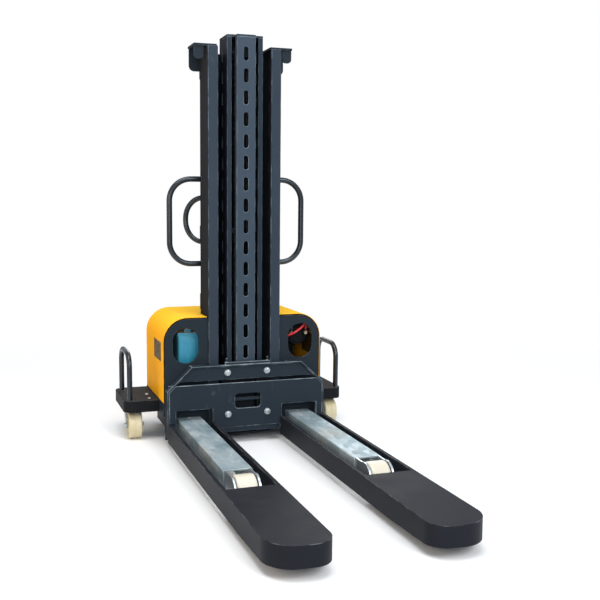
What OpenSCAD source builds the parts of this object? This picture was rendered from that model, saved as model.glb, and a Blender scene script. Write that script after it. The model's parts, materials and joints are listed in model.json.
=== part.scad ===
// Self-loading stacker with slotted fork arms, sliding straddle legs and a two-stage mast.
// Millimetres. The forks point along -Y, the operator stands at +Y, and Z = 0 is the ground.
// The part is written from the front face of the carriage plate (y = 0) and shifted once at the
// end, so that the origin lies on the ground under the middle of the whole machine.

/* [Forks] */
// Length of a fork arm in front of the carriage plate
fork_len = 1160; // [1080:1:1300]
// Width of one fork arm
fork_w = 173; // [168:1:200]
// Free width between the two fork arms
fork_gap = 254; // [230:1:300]
// Height of the top of the lowered forks
fork_top = 90; // [84:1:96]
// Depth of the fork's side skirts
fork_skirt = 68; // [55:1:72]
// Sheet thickness of the fork arm
fork_wall = 6; // [4:0.5:8]
// Corner radius of the tip on the inner side
tip_r_in = 60; // [30:1:80]
// Corner radius of the tip on the outer side
tip_r_out = 85; // [30:1:86]
// How far the underside of the tip rises
tip_rise = 9; // [0:1:20]
// Length of the rise under the tip
tip_rise_len = 260; // [100:1:300]
// Free length of the slot in front of the load roller
slot_ahead = 30; // [20:1:90]
// Width of the slot for the straddle leg
slot_w = 148; // [130:1:154]

/* [Straddle legs] */
// Width of the leg channel
leg_w = 92; // [88:1:100]
// Height of the top of the leg channel
leg_top = 97; // [94:1:100]
// Depth of the leg channel
leg_h = 70; // [60:1:74]
// Sheet thickness of the leg channel
leg_wall = 5; // [3:0.5:6]
// Distance from the carriage plate to the front end of the leg channel
leg_reach = 586; // [500:1:600]
// Travel of the leg when it is pushed back
leg_travel = 360; // [300:1:400]
// Running clearance between the leg and its tunnel
leg_clear = 0.6; // [0.3:0.1:1]
// Distance from the end of the leg channel to the roller axle
roller_ahead = 62; // [58:1:66]
// Diameter of the load roller
roller_d = 100; // [94:1:102]
// Width of the load roller
roller_w = 62; // [54:1:64]
// Diameter of the load roller axle
roller_axle_d = 16; // [12:1:20]
// Thickness of a roller cheek
cheek_t = 6.5; // [5:0.5:7]
// Radius of the rounded front of a roller cheek
cheek_r = 46; // [40:1:48]
// Height of that rounding's centre above the axle
cheek_lift = 4; // [0:1:6]

/* [Carriage] */
// Height of the top edge of the carriage
carr_top = 293; // [280:1:320]
// Height at which the sloping rims begin
carr_shoulder = 207; // [190:1:225]
// Width of the carriage at its top edge
carr_top_w = 420; // [380:1:460]
// Height of the foot of the side rims
carr_foot = 33; // [28:1:45]
// Thickness of the rims
rim_t = 6; // [4:0.5:8]
// Depth of the side rims
rim_depth = 40; // [30:1:44]
// Depth of the top rim
top_rim_depth = 26; // [18:1:26]
// Thickness of the upper panel
panel_t = 6; // [4:0.5:8]
// Thickness of the front plate
plate_t = 8; // [6:0.5:10]
// Height of the top edge of the front plate
plate_top = 227; // [215:1:240]
// Height of the bottom edge of the front plate
plate_low = 46; // [40:1:60]
// Height of the front plate's folded edge between the forks
plate_fold = 62; // [56:1:75]
// Height of the shadow gap between front plate and upper panel
plate_gap = 11; // [6:1:16]
// Width of the hand slot
hand_w = 98; // [80:1:120]
// Height of the hand slot
hand_h = 54; // [40:1:60]
// Height of the middle of the hand slot
hand_z = 158; // [150:1:166]
// Corner radius of the hand slot
hand_r = 13; // [5:1:20]
// Height of the top of the leg windows
win_top = 135; // [125:1:145]
// Clearance beside the leg in its window
win_side = 12; // [8:1:14]
// Extra clearance on the inner side of the leg window
win_inner = 32; // [10:1:36]
// Half the sideways distance between the carriage bolts
bolt_x = 75.4; // [70:0.1:85]
// Height of the lower carriage bolts
bolt_low = 111.6; // [105:0.1:120]
// Height of the upper carriage bolts
bolt_high = 264.6; // [258:0.1:272]
// Shank diameter of the carriage bolts
bolt_d = 12; // [8:1:14]

/* [Outer mast] */
// Distance of the mast's front face behind the carriage plate
mast_front = 44; // [44:1:48]
// Overall width of the outer mast
mast_w = 274; // [272:1:276]
// Flange width of an outer channel
out_flange_w = 37; // [34:1:38]
// Depth of an outer channel
out_depth = 122; // [120:1:124]
// Flange thickness of an outer channel
out_flange_t = 16; // [14:0.5:18]
// Web thickness of an outer channel
out_web = 10; // [8:0.5:11]
// Height of the top of the outer channels
mast_top = 1433; // [1433:1:1440]
// Thickness of the cross ties behind the mast
tie_t = 8; // [6:1:10]
// Thickness of the rear guard sheet
guard_t = 2; // [1.5:0.5:4]
// Height of a cross tie
tie_h = 60; // [50:1:70]
// Height of the lowest cross tie's underside
tie_z1 = 480; // [470:1:520]
// Distance from the top of the outer channels down to the highest cross tie
tie_below = 43; // [20:1:80]
// Distance of a top bracket's outer edge from the centre line
br_x = 184; // [178:1:192]
// Height of a top bracket's rear plate
br_h = 78; // [60:1:90]

/* [Inner mast] */
// Overall width of the inner mast
in_w = 134; // [132:1:136]
// Flange width of an inner channel
in_flange_w = 17; // [16:0.5:18]
// Depth of an inner channel
in_depth = 103; // [101:1:105]
// Flange thickness of an inner channel
in_flange_t = 12.6; // [11:0.1:13.5]
// Web thickness of an inner channel
in_web = 6; // [4:0.5:7]
// Height of the head plate's underside
in_top = 1467; // [1460:1:1480]
// Thickness of the head plate
head_t = 8; // [6:1:12]
// Height of the back plate below the head plate
head_back_h = 71; // [50:1:90]
// Lift of the inner mast
in_travel = 600; // [300:1:600]
// Width of the slotted front column
col_w = 70; // [66:1:71]
// How far the column stands in front of the inner channels
col_ahead = 15; // [12:1:16]
// Depth of the column's sides
col_depth = 22; // [18:1:24]
// Sheet thickness of the column
col_t = 4; // [3:0.5:5]
// Number of slots in the column
slots_n = 15; // [5:1:15]
// Distance from slot to slot
slots_pitch = 76.7; // [65:0.1:77]
// Width of a slot
slots_w = 17.5; // [10:0.5:22]
// Height of a slot
slots_h = 50; // [30:1:56]
// Height of the middle of the lowest slot
slots_z0 = 334.5; // [300:0.5:350]

/* [Rollers, cylinder and chains] */
// Running clearance between a mast roller and its channel
mast_clear = 0.3; // [0.2:0.05:0.6]
// Width of a mast roller
mast_roller_w = 22; // [16:1:23]
// Width of a carriage roller
carr_roller_w = 16; // [12:1:16]
// Height of the mast rollers
mast_roller_z = 110; // [100:1:200]
// Height of the lower carriage rollers
carr_roller_z = 130; // [128:1:134]
// Height of the upper carriage rollers
carr_roller_z2 = 242; // [236:1:244]
// Diameter of the roller stubs
stub_d = 22; // [16:1:26]
// Radial running clearance of every roller, wheel and pin
run_clear = 0.05; // [0.03:0.01:0.1]
// Outer diameter of the lift cylinder
cyl_d = 44; // [36:1:44]
// Diameter of the piston rod
rod_d = 28; // [20:1:32]
// Height of the shelf that carries the cylinder
shelf_z = 747; // [735:1:760]
// Pitch radius of the chain sheaves
sheave_r = 30; // [28:1:31]
// Height of the sheave pin
sheave_z = 1425; // [1420:1:1430]
// Thickness of a lift chain
chain_t = 8; // [6:0.5:9]
// Width of a lift chain
chain_w = 9; // [6:0.5:9]

/* [Body] */
// Overall width of the chassis and the hood
body_w = 608; // [600:1:612]
// Distance of the bulkhead behind the carriage plate
bulk_y = 50; // [50:1:52]
// Thickness of the bulkhead
bulk_t = 6; // [4:0.5:8]
// How far the hood's edge stands out around the bulkhead
hood_lip = 5; // [3:1:8]
// Height of the hood's top
hood_top = 466; // [450:1:500]
// Corner radius of the hood
hood_r = 90; // [60:1:110]
// Sheet thickness of the hood
hood_t = 2; // [1.5:0.5:3]
// Distance of the rear plate's outer face behind the carriage plate
body_back = 389; // [389:1:400]
// Height of the underside of the chassis
floor_z = 18; // [16:1:22]
// Height of the deck on which the hood stands
deck_z = 155; // [150:1:160]
// Plate thickness of the chassis
chassis_t = 6; // [5:0.5:8]
// Width of a bulkhead window
bwin_w = 95; // [80:1:100]
// Height of a bulkhead window
bwin_h = 130; // [100:1:140]
// Distance of a bulkhead window's middle from the body's side
bwin_in = 83; // [80:1:89]
// Height of a bulkhead window's middle
bwin_z = 364; // [355:1:372]

/* [Platforms, handles and casters] */
// Distance of a platform's front behind the carriage plate
plat_y = 135; // [128:1:140]
// Length of a platform
plat_len = 250; // [240:1:254]
// Reach of a platform beyond the body's side
plat_out = 129; // [121:1:136]
// Height of the platform's top
plat_z = 150; // [146:1:154]
// Height of the platform's rim
plat_rim = 43; // [30:1:50]
// Corner radius of the platform's outer corners
plat_r = 32; // [10:1:40]
// Sheet thickness of the platform
plat_t = 5; // [4:0.5:6]
// Tube diameter of the step guards
guard_d = 20; // [16:1:22]
// Height of the step guard's centre line
guard_z = 322; // [280:1:360]
// Bend radius of the step guard
guard_r = 52; // [25:1:60]
// Distance between the two legs of a step guard
guard_len = 187; // [150:1:205]
// Tube diameter of the lift handles
handle_d = 21; // [18:1:24]
// Reach of a lift handle beside the mast
handle_reach = 120; // [90:1:140]
// Height of a lift handle's lower end
handle_low = 655; // [600:1:700]
// Height of a lift handle's upper end
handle_high = 967; // [900:1:1000]
// Bend radius of a lift handle
handle_r = 80; // [60:1:90]
// Height of a rear push handle's upper end
push_high = 899; // [880:1:920]
// Distance between the two ends of a rear push handle
push_w = 165; // [165:1:190]
// Reach of a rear push handle
push_reach = 97; // [90:1:110]
// Bend radius of a rear push handle
push_r = 78; // [60:1:82]
// Diameter of a caster wheel
wheel_d = 100; // [90:1:104]
// Width of a caster wheel
wheel_w = 50; // [40:1:54]
// Trail of a caster
trail = 32; // [26:1:34]
// Distance from a platform's front to the swivel axis of its caster
cast_ahead = 82; // [78:1:120]

/* [Hidden] */
$fn = 48;
fi = fork_gap/2;                      // inner side of a fork arm
fo = fi + fork_w;                     // outer side of a fork arm
fork_low = fork_top - fork_skirt;
carr_w = 2*fo;
slot_rim = (fork_w - slot_w)/2;
leg_x = fi + slot_rim + slot_w/2 - 2.5;  // middle of a leg
leg_low = leg_top - leg_h;
axle_y = -(leg_reach + roller_ahead);
axle_z = roller_d/2;
slot_len = leg_reach + roller_ahead + roller_d/2 + slot_ahead;
win_a = leg_x - leg_w/2 - win_inner;  // leg window in the carriage
win_b = leg_x + leg_w/2 + win_side;
mast_back = mast_front + out_depth;
out_x = mast_w/2;
in_front = mast_front + 1;
in_back = in_front + in_depth;
in_x = in_w/2;
col_front = in_front - col_ahead;
out_mid = mast_front + out_depth/2;
in_mid = in_front + in_depth/2;
mast_roller_r = (out_depth - 2*out_flange_t)/2 - mast_clear;
carr_roller_r = (in_depth - 2*in_flange_t)/2 - mast_clear;
arm_a = col_w/2 + 1.6;                // carriage roller arm
arm_b = arm_a + 6;
arm_out = 96;                         // outer side of the block at its foot
cyl_y = in_mid + 3.5;
chain_x = cyl_d/2 + 3.5 + chain_w/2;
shelf_t = 12;
tie_z = shelf_z - shelf_t;            // underside of the middle cross tie
tie_z3 = mast_top - tie_below - tie_h; // underside of the highest cross tie
port_z = shelf_z + 28;                // oil port at the foot of the cylinder
port_back = cyl_y + cyl_d/2 + 68;
port_hole = 12;                       // radius of the hole round the port
cyl_top = sheave_z - sheave_r - 3;
bar_y = cyl_y - sheave_r - chain_t/2;
hood_half = body_w/2;
bulk_half = hood_half - hood_lip;
bulk_top = hood_top - hood_lip;
bulk_back = bulk_y + bulk_t;
deck_low = deck_z - chassis_t;
tun_in = leg_w/2 + leg_clear;         // half the inner width of a leg tunnel
tun_top = leg_top + leg_clear;
tun_out = leg_x + tun_in + 5;         // outer side of a leg tunnel
lock_len = 21;
lock_low = tun_top + 1;               // lock pin, its guide block and its knob
lock_block = 130;
lock_top = 152;
lock_knob_r = 9;
body_rear = body_back + lock_len;
lock_y = body_back + lock_len/2;
lock_d = 12;
tie_back = mast_back + tie_t;
guard_low = deck_z + 5;
guard_high = mast_top - 8;
plat_x = hood_half + plat_out;
plat_low = plat_z - plat_rim;
side_low = plat_low - 3;              // underside of the chassis' side plates
guard_x = plat_x - 22;
guard_y1 = plat_y + 15;
guard_y2 = guard_y1 + guard_len;
cast_x = plat_x - 42;
cast_y = plat_y + cast_ahead;
wheel_y = cast_y - trail;
wheel_r = wheel_d/2;
cast_top = plat_z - plat_t;
cast_plate_t = 6;
fork_arm_t = 4;
pin_d = 12;
axle_r = 6;
bwin_x = hood_half - bwin_in;
pack_x = bwin_x + 5;                  // middle of the power unit
pack_z = bwin_z + 24;
motor_r = 46;
motor_y = bulk_back + 40;
motor_l = 120;
pump_y = motor_y + motor_l;           // pump block
pump_l = 40;
pump_h = 36;
port_y = pump_y + pump_l/2;
bat_x = bwin_x - 24;
bat_w = 92;
bat_y = bulk_back + 28;
bat_l = 240;
bat_top = deck_z + 237;
lid_lap = 1;                          // battery lid and its two caps
lid_t = 14;
cap_h = 12;
cap_w = 26;
cap_in = 12;
cap_x = 20;
lead_x = cap_x - cap_w/2;
lead_y = cap_in + cap_w/2;
lid_top = bat_top + lid_t;
box_z = 930;                          // control box, its buttons and its conduit
box_w = 160;
box_h = 130;
box_t = 50;
button_x = 45;
button_z1 = box_z + 40;
button_z2 = box_z + 92;
conduit_x = 60;
box_y = tie_back + guard_t;
term_z = lid_top + cap_h;
stud_z = pack_z + 4.4;
relay_x = pack_x - 61;                // motor contactor: its two studs
relay_y = [90, 110];
relay_top = 356;
// Routes of the cables and of the hose, from clamp to clamp
red_long = [[-bat_x - lead_x, bat_y + lead_y, term_z + 0.2], [-bat_x - lead_x, bat_y + lead_y, 434],
  [-188, 160, 448], [-130, 236, 448], [0, 262, 448], [110, 236, 446], [156, 176, 422],
  [relay_x, 122, 388], [relay_x, relay_y[1], 374], [relay_x, relay_y[1], relay_top + 0.2]];
red_short = [[relay_x, relay_y[0], relay_top + 0.2], [relay_x, relay_y[0], 372],
  [178, 72, 380], [204, 66, 392], [230, 67, 408], [246, 72, 420], [255, 80, 416], [255, 80, 406], [255, 80, stud_z]];
black_long = [[-bat_x - lead_x, bat_y + bat_l - lead_y, term_z + 0.2],
  [-bat_x - lead_x, bat_y + bat_l - lead_y, 434], [-176, 330, 446], [-100, 332, 444], [60, 326, 440],
  [140, 290, 442], [170, 215, 448], [180, 130, 440], [192, 86, 426], [197, 80, 410],
  [197, 80, stud_z]];
hose_route = [[pack_x - 50, port_y, pack_z], [150, 236, 388], [100, 236, 394],
  [45, 226, 420], [14, 200, 458], [2, 193, 520], [0, 193, 600], [0, 196, 680], [0, 208, 730],
  [0, 213, 762], [0, 204, port_z], [0, port_back, port_z]];
y_mid = (fork_len - body_rear)/2;     // the origin's shift along Y

// Helpers: boxes and rods given by their limits
module blk(x0, x1, y0, y1, z0, z1) translate([x0, y0, z0]) cube([x1 - x0, y1 - y0, z1 - z0]);
module rod_x(r, x0, x1, y, z) translate([x0, y, z]) rotate([0, 90, 0]) cylinder(r = r, h = x1 - x0);
module rod_y(r, y0, y1, x, z) translate([x, y1, z]) rotate([90, 0, 0]) cylinder(r = r, h = y1 - y0);
module rod_z(r, z0, z1, x, y) translate([x, y, z0]) cylinder(r = r, h = z1 - z0);
module left() mirror([1, 0, 0]) children();
module pair() { children(); mirror([1, 0, 0]) children(); }
// A plate drawn in the XZ plane and given a thickness along Y
module plate_y(y0, y1) translate([0, y1, 0]) rotate([90, 0, 0]) linear_extrude(y1 - y0) children();
// A plate drawn in the YZ plane and given a thickness along X
module plate_x(x0, x1) translate([x0, 0, 0]) rotate([90, 0, 90]) linear_extrude(x1 - x0) children();
module rounded(w, h, r) {
  square([w - 2*r, h], center = true);
  square([w, h - 2*r], center = true);
  for (x = [-1, 1], y = [-1, 1]) translate([x*(w/2 - r), y*(h/2 - r)]) circle(r);
}
// A hoop of tube: two legs that rise from z = 0, two bends and a straight top
module hoop(w, h, rc, rt) {
  cylinder(r = rt, h = h - rc);
  translate([w, 0, 0]) cylinder(r = rt, h = h - rc);
  translate([rc, 0, h]) rotate([0, 90, 0]) cylinder(r = rt, h = w - 2*rc);
  translate([rc, 0, h - rc]) rotate([90, 0, 0]) rotate([0, 0, 90])
    rotate_extrude(angle = 90) translate([rc, 0]) circle(rt);
  translate([w - rc, 0, h - rc]) rotate([90, 0, 0])
    rotate_extrude(angle = 90) translate([rc, 0]) circle(rt);
}
// A cable swept through points: Catmull-Rom between them, with round sections
function cr(p, i, t) = let (a = p[max(i - 1, 0)], b = p[i], c = p[i + 1],
    d = p[min(i + 2, len(p) - 1)])
  0.5*((2*b) + (c - a)*t + (2*a - 5*b + 4*c - d)*t*t + (3*b - a - 3*c + d)*t*t*t);
function path(p, n) = concat([for (i = [0:len(p) - 2], k = [0:n - 1]) cr(p, i, k/n)],
  [p[len(p) - 1]]);
function unit(v) = v/norm(v);
// Directions square to the route's tangents, carried along it without twist
function carried(tg, i, u) = i == len(tg) ? [] :
  let (w = unit(u - (u*tg[i])*tg[i])) concat([w], carried(tg, i + 1, w));
module cable(pts, r, n = 4, sides = 8) {
  q = path(pts, n);
  m = len(q);
  // the end rings lie square to the first and last stretch of the route
  tg = [for (i = [0:m - 1]) i == 0 ? unit(pts[1] - pts[0]) :
    i == m - 1 ? unit(pts[len(pts) - 1] - pts[len(pts) - 2]) : unit(q[i + 1] - q[i - 1])];
  u = carried(tg, 0, cross(tg[0], [0.7, 0.5, 0.5]));
  v = [for (i = [0:m - 1]) cross(tg[i], u[i])];
  points = [for (i = [0:m - 1], k = [0:sides - 1])
    q[i] + r*(cos(360*k/sides)*u[i] + sin(360*k/sides)*v[i])];
  faces = concat([[for (k = [0:sides - 1]) k]],
    [for (i = [0:m - 2], k = [0:sides - 1]) let (a = i*sides + k, b = i*sides + (k + 1)%sides)
      [a, a + sides, b + sides, b]],
    [[for (k = [sides - 1:-1:0]) (m - 1)*sides + k]]);
  polyhedron(points, faces);
}

// Forks
// Plan of a fork arm, drawn i inside its outline; the tip points along -y
module fork_plan(i) {
  c = fork_len - tip_r_out;
  translate([fi + i, -c]) square([fork_w - 2*i, c - i]);
  translate([fi + i, -(fork_len - tip_r_in)]) square([fork_w - tip_r_out - i, c]);
  translate([fi + tip_r_in, -(fork_len - i)])
    square([fork_w - tip_r_in - tip_r_out, fork_len/2]);
  translate([fi + tip_r_in, -(fork_len - tip_r_in)]) circle(tip_r_in - i);
  translate([fo - tip_r_out, -c]) circle(tip_r_out - i);
}
// Plan limited to the length of the arm
module fork_shape(i, back) intersection() {
  fork_plan(i);
  translate([fi, -fork_len]) square([fork_w, fork_len - back]);
}
module fork_arm() color([0.16, 0.17, 0.19]) difference() {
  translate([0, 0, fork_low]) linear_extrude(fork_skirt) fork_shape(0, 0);
  // open underside of the closed front part
  translate([0, 0, fork_low - 1]) linear_extrude(fork_skirt - fork_wall + 1)
    fork_shape(fork_wall, slot_len + fork_wall + 2);
  // slot that clears the straddle leg
  blk(fi + slot_rim, fo - slot_rim, -slot_len, 1, fork_low - 1, fork_top + 1);
  // the underside rises towards the tip
  plate_x(fi - 1, fo + 1) polygon([[-fork_len - 1, fork_low - 1],
    [-fork_len + tip_rise_len, fork_low - 1], [-fork_len + tip_rise_len, fork_low],
    [-fork_len - 1, fork_low + tip_rise]]);
}
module fork_right() fork_arm();
module fork_left() left() fork_arm();

// Straddle legs
module leg() color([0.62, 0.65, 0.66]) difference() {
  blk(leg_x - leg_w/2, leg_x + leg_w/2, -leg_reach, body_rear, leg_low, leg_top);
  blk(leg_x - leg_w/2 + leg_wall, leg_x + leg_w/2 - leg_wall, -leg_reach - 1, body_rear + 1,
    leg_low - 1, leg_top - leg_wall);
  // holes for the lock pin, with the leg pulled out and pushed back
  for (d = [0, leg_travel])
    rod_z(lock_d/2 + 0.4, leg_top - leg_wall - 1, leg_top + 1, leg_x, lock_y - d);
}
module straddle_leg_right() leg();
module straddle_leg_left() left() leg();
// Two cheek plates welded to the channel's side walls, with the roller axle between them
cheek_x = leg_w/2 - leg_wall - cheek_t;
cheek_weld = 60;                      // length of a cheek inside the channel
module cheeks() color([0.72, 0.74, 0.75]) {
  for (s = [-1, 1]) difference() {
    translate([leg_x + s*(cheek_x + cheek_t/2), 0, 0]) plate_x(-cheek_t/2, cheek_t/2) {
      translate([axle_y, axle_z + cheek_lift]) circle(cheek_r);
      translate([axle_y, leg_low + 8]) square([roller_ahead, leg_top - leg_low - 8]);
      translate([axle_y, leg_low + 8]) square([roller_ahead + cheek_weld,
        leg_top - leg_wall - 0.3 - leg_low - 8]);
    }
    rod_x(roller_axle_d/2, leg_x - 60, leg_x + 60, axle_y, axle_z);
  }
  rod_x(roller_axle_d/2, leg_x - cheek_x - cheek_t, leg_x + cheek_x + cheek_t, axle_y, axle_z);
}
module leg_roller_cheeks_right() cheeks();
module leg_roller_cheeks_left() left() cheeks();
module load_roller() color([0.86, 0.82, 0.68]) translate([leg_x, axle_y, axle_z])
  rotate([0, 90, 0]) rotate_extrude() polygon([
    [roller_axle_d/2 + run_clear, -roller_w/2], [roller_d/2 - 3, -roller_w/2],
    [roller_d/2, -roller_w/2 + 3], [roller_d/2, roller_w/2 - 3],
    [roller_d/2 - 3, roller_w/2], [roller_axle_d/2 + run_clear, roller_w/2]]);
module load_roller_right() load_roller();
module load_roller_left() left() load_roller();
// Spring-less push pin that locks the leg in its tunnel
module lock_pin() color([0.75, 0.76, 0.77]) {
  rod_z(lock_d/2, lock_low, lock_top, leg_x, lock_y);
  rod_z(lock_knob_r, lock_top - 2, lock_top + 14, leg_x, lock_y);
}
module leg_lock_pin_right() lock_pin();
module leg_lock_pin_left() left() lock_pin();

// Carriage
panel_y = plate_t;
sh = carr_w/2;
st = carr_top_w/2;
// length of the sloping rim's inward offset
k_slope = rim_t/cos(atan((carr_top - carr_shoulder)/(sh - st)));
module carr_outline(z0) polygon([[-sh, z0], [sh, z0], [sh, carr_shoulder], [st, carr_top],
  [-st, carr_top], [-sh, carr_shoulder]]);
module carr_inner(z0) polygon([[-sh + rim_t, z0], [sh - rim_t, z0],
  [sh - rim_t, carr_shoulder - k_slope + rim_t*(carr_top - carr_shoulder)/(sh - st)],
  [st - (k_slope - rim_t)*(sh - st)/(carr_top - carr_shoulder), carr_top - rim_t],
  [-st + (k_slope - rim_t)*(sh - st)/(carr_top - carr_shoulder), carr_top - rim_t],
  [-sh + rim_t, carr_shoulder - k_slope + rim_t*(carr_top - carr_shoulder)/(sh - st)]]);
module carriage_frame() color([0.17, 0.18, 0.2]) {
  // rims, shallower over the mast
  difference() {
    plate_y(0, rim_depth) carr_outline(carr_foot);
    plate_y(-1, rim_depth + 1) carr_inner(carr_foot - 1);
    blk(-out_x - 20, out_x + 20, top_rim_depth, rim_depth + 1, 0, carr_top + 1);
  }
  // upper panel
  difference() {
    plate_y(panel_y, panel_y + panel_t) intersection() {
      carr_inner(carr_foot);
      translate([-sh, plate_top + plate_gap]) square([2*sh, carr_top]);
    }
    pair() rod_y(bolt_d/2, 0, 30, bolt_x, bolt_high);
  }
  // lower cross bar behind and below the plate's folded edge
  blk(-fi + 6, fi - 6, panel_y, panel_y + 10, plate_low - 3, plate_fold + 4);
  blk(-fi, fi, 3, panel_y + 1, plate_low - 3, plate_fold);
  pair() blk(fi - 6, win_a, panel_y, panel_y + 10, fork_low + 4, win_top + 40);
  pair() blk(win_b, sh - rim_t, panel_y, panel_y + 10, carr_foot, plate_top);
  // grip bar behind the hand slot
  rod_x(7, -fi + 5, fi - 5, panel_y + 7, hand_z + 4);
  // bar on the top rim, with two upright studs
  blk(-85, 85, 4, 20, carr_top, carr_top + 10);
  pair() rod_z(4, carr_top + 10, carr_top + 24, 78, 12);
}
module carriage_front_plate() color([0.18, 0.19, 0.21]) difference() {
  plate_y(0, plate_t) difference() {
    intersection() {
      carr_inner(plate_low);
      translate([-sh, plate_low]) square([2*sh, plate_top - plate_low]);
    }
    pair() translate([win_a, 0]) square([win_b - win_a, win_top]);
    translate([-fi, 0]) square([fork_gap, plate_fold]);
    translate([0, hand_z]) rounded(hand_w, hand_h, hand_r);
  }
  pair() rod_y(bolt_d/2, -1, plate_t + 1, bolt_x, bolt_low);
}
module bolt(z, face, len) {
  rod_y(bolt_d, face - 2.5, face, bolt_x, z);
  translate([bolt_x, face - 2.5, z]) rotate([90, 30, 0]) cylinder(d = 1.73*bolt_d, h = 7, $fn = 6);
  rod_y(bolt_d/2, face - 3, face + len, bolt_x, z);
}
module carriage_bolts() color([0.8, 0.81, 0.82]) pair() {
  bolt(bolt_low, 0, plate_t + 14);
  bolt(bolt_high, panel_y, panel_t + 8);
}
arm_low = 85;
arm_high = 285;
// Base blocks behind the plate, arms that reach into the inner channels, and roller stubs
module carriage_roller_arms() color([0.2, 0.2, 0.22]) {
  pair() {
    difference() {
      union() {
        blk(arm_a, arm_out, plate_t, mast_front - 18, arm_low, plate_top);
        blk(arm_a, arm_out, plate_t + panel_t, mast_front - 18, plate_top, arm_high);
        blk(arm_a, arm_b, plate_t + panel_t, in_mid + 22, arm_low, arm_high - 18);
      }
      rod_y(bolt_d/2, 0, plate_t + 14, bolt_x, bolt_low);
      rod_y(bolt_d/2, 0, plate_t + panel_t + 8, bolt_x, bolt_high);
      // room for the bars behind the plate
      blk(arm_a - 1, fi, panel_y - 1, panel_y + 15, hand_z - 4, hand_z + 12);
    }
    for (z = [carr_roller_z, carr_roller_z2])
      rod_x(stub_d/2, arm_b - 1, arm_b + 1 + carr_roller_w, in_mid, z);
  }
  // cross bar behind the column, to which the chains are pinned
  blk(-arm_a - 1, arm_a + 1, bar_y - 5, bar_y + chain_t - 1, arm_high - 40, arm_high - 22);
}
module roller(r, w, x, z, y) color([0.5, 0.51, 0.52]) difference() {
  rod_x(r, x, x + w, y, z);
  rod_x(stub_d/2 + run_clear, x - 1, x + w + 1, y, z);
}
carr_rx = arm_b + 0.9;
module carriage_rollers_lower() pair()
  roller(carr_roller_r, carr_roller_w, carr_rx, carr_roller_z, in_mid);
module carriage_rollers_upper() pair()
  roller(carr_roller_r, carr_roller_w, carr_rx, carr_roller_z2, in_mid);

// Outer mast
module outer_channel() color([0.16, 0.17, 0.19]) difference() {
  blk(out_x - out_flange_w, out_x, mast_front, mast_back, floor_z + chassis_t, mast_top);
  blk(out_x - out_flange_w - 1, out_x - out_web, mast_front + out_flange_t,
    mast_back - out_flange_t, floor_z, mast_top + 1);
}
module outer_mast_channel_right() outer_channel();
module outer_mast_channel_left() left() outer_channel();
module mast_cross_ties() color([0.15, 0.16, 0.18]) {
  difference() {
    for (z = [tie_z1, tie_z, tie_z3]) blk(-out_x, out_x, mast_back, tie_back, z, z + tie_h);
    rod_y(port_hole, mast_back - 1, tie_back + 1, 0, port_z);
  }
  // shelf for the cylinder and the fixed chain ends, with a rib below it
  blk(-arm_a + 4, arm_a - 4, cyl_y - cyl_d/2 - 1, mast_back + 1, shelf_z - shelf_t, shelf_z);
  blk(-3, 3, cyl_y, mast_back, tie_z - 30, tie_z + 1);
  pair() blk(chain_x - chain_w/2, arm_a - 4.1, cyl_y + sheave_r - chain_t/2, mast_back + 1,
    shelf_z - 1, shelf_z + 12);
}
module mast_rear_guard() color([0.13, 0.13, 0.14]) difference() {
  blk(-out_x + 30, out_x - 30, tie_back, tie_back + guard_t, guard_low, guard_high);
  rod_y(port_hole, tie_back - 1, tie_back + guard_t + 1, 0, port_z);
}
br_t = 6;                             // top bracket: sheet, rear edge and corner
br_back = mast_back - 10;
br_r = 20;
module top_bracket() {
  blk(out_x - out_flange_w, br_x, mast_front + 16, br_back, mast_top, mast_top + 8);
  plate_y(mast_front + 22, mast_front + 22 + br_t) union() {
    translate([out_x + 10, mast_top - 34]) square([br_x - out_x - 11, 34]);
    translate([br_x - 19, mast_top - 28]) rounded(36, 34, 14);
  }
  plate_y(br_back - br_t, br_back) difference() {
    translate([out_x, mast_top - br_h]) square([br_x - 3 - out_x, br_h]);
    translate([br_x - 3 - br_r, mast_top - br_h]) difference() {
      square([br_r + 1, br_r]);
      translate([0, br_r]) circle(br_r);
    }
  }
}
module mast_top_brackets() color([0.17, 0.18, 0.2]) pair() top_bracket();
module lift_handles() color([0.1, 0.1, 0.11]) pair()
  translate([out_x, mast_back - 16, handle_high]) rotate([0, 90, 0])
    hoop(handle_high - handle_low, handle_reach, handle_r, handle_d/2);
// Smaller push handles behind the mast, turned outwards
module rear_push_handles() color([0.1, 0.1, 0.11]) pair() difference() {
  translate([out_x - 27, mast_back - 8, push_high]) rotate([0, 0, 45]) rotate([0, 90, 0])
    hoop(push_w, push_reach, push_r, guard_d/2);
  blk(0, 2*out_x, 0, mast_back, push_high - push_w - guard_d, push_high + guard_d);
  // the lower end is notched over the middle cross tie
  blk(0, out_x + 0.1, 0, tie_back, tie_z - 0.1, tie_z + tie_h + 0.1);
}

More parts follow.
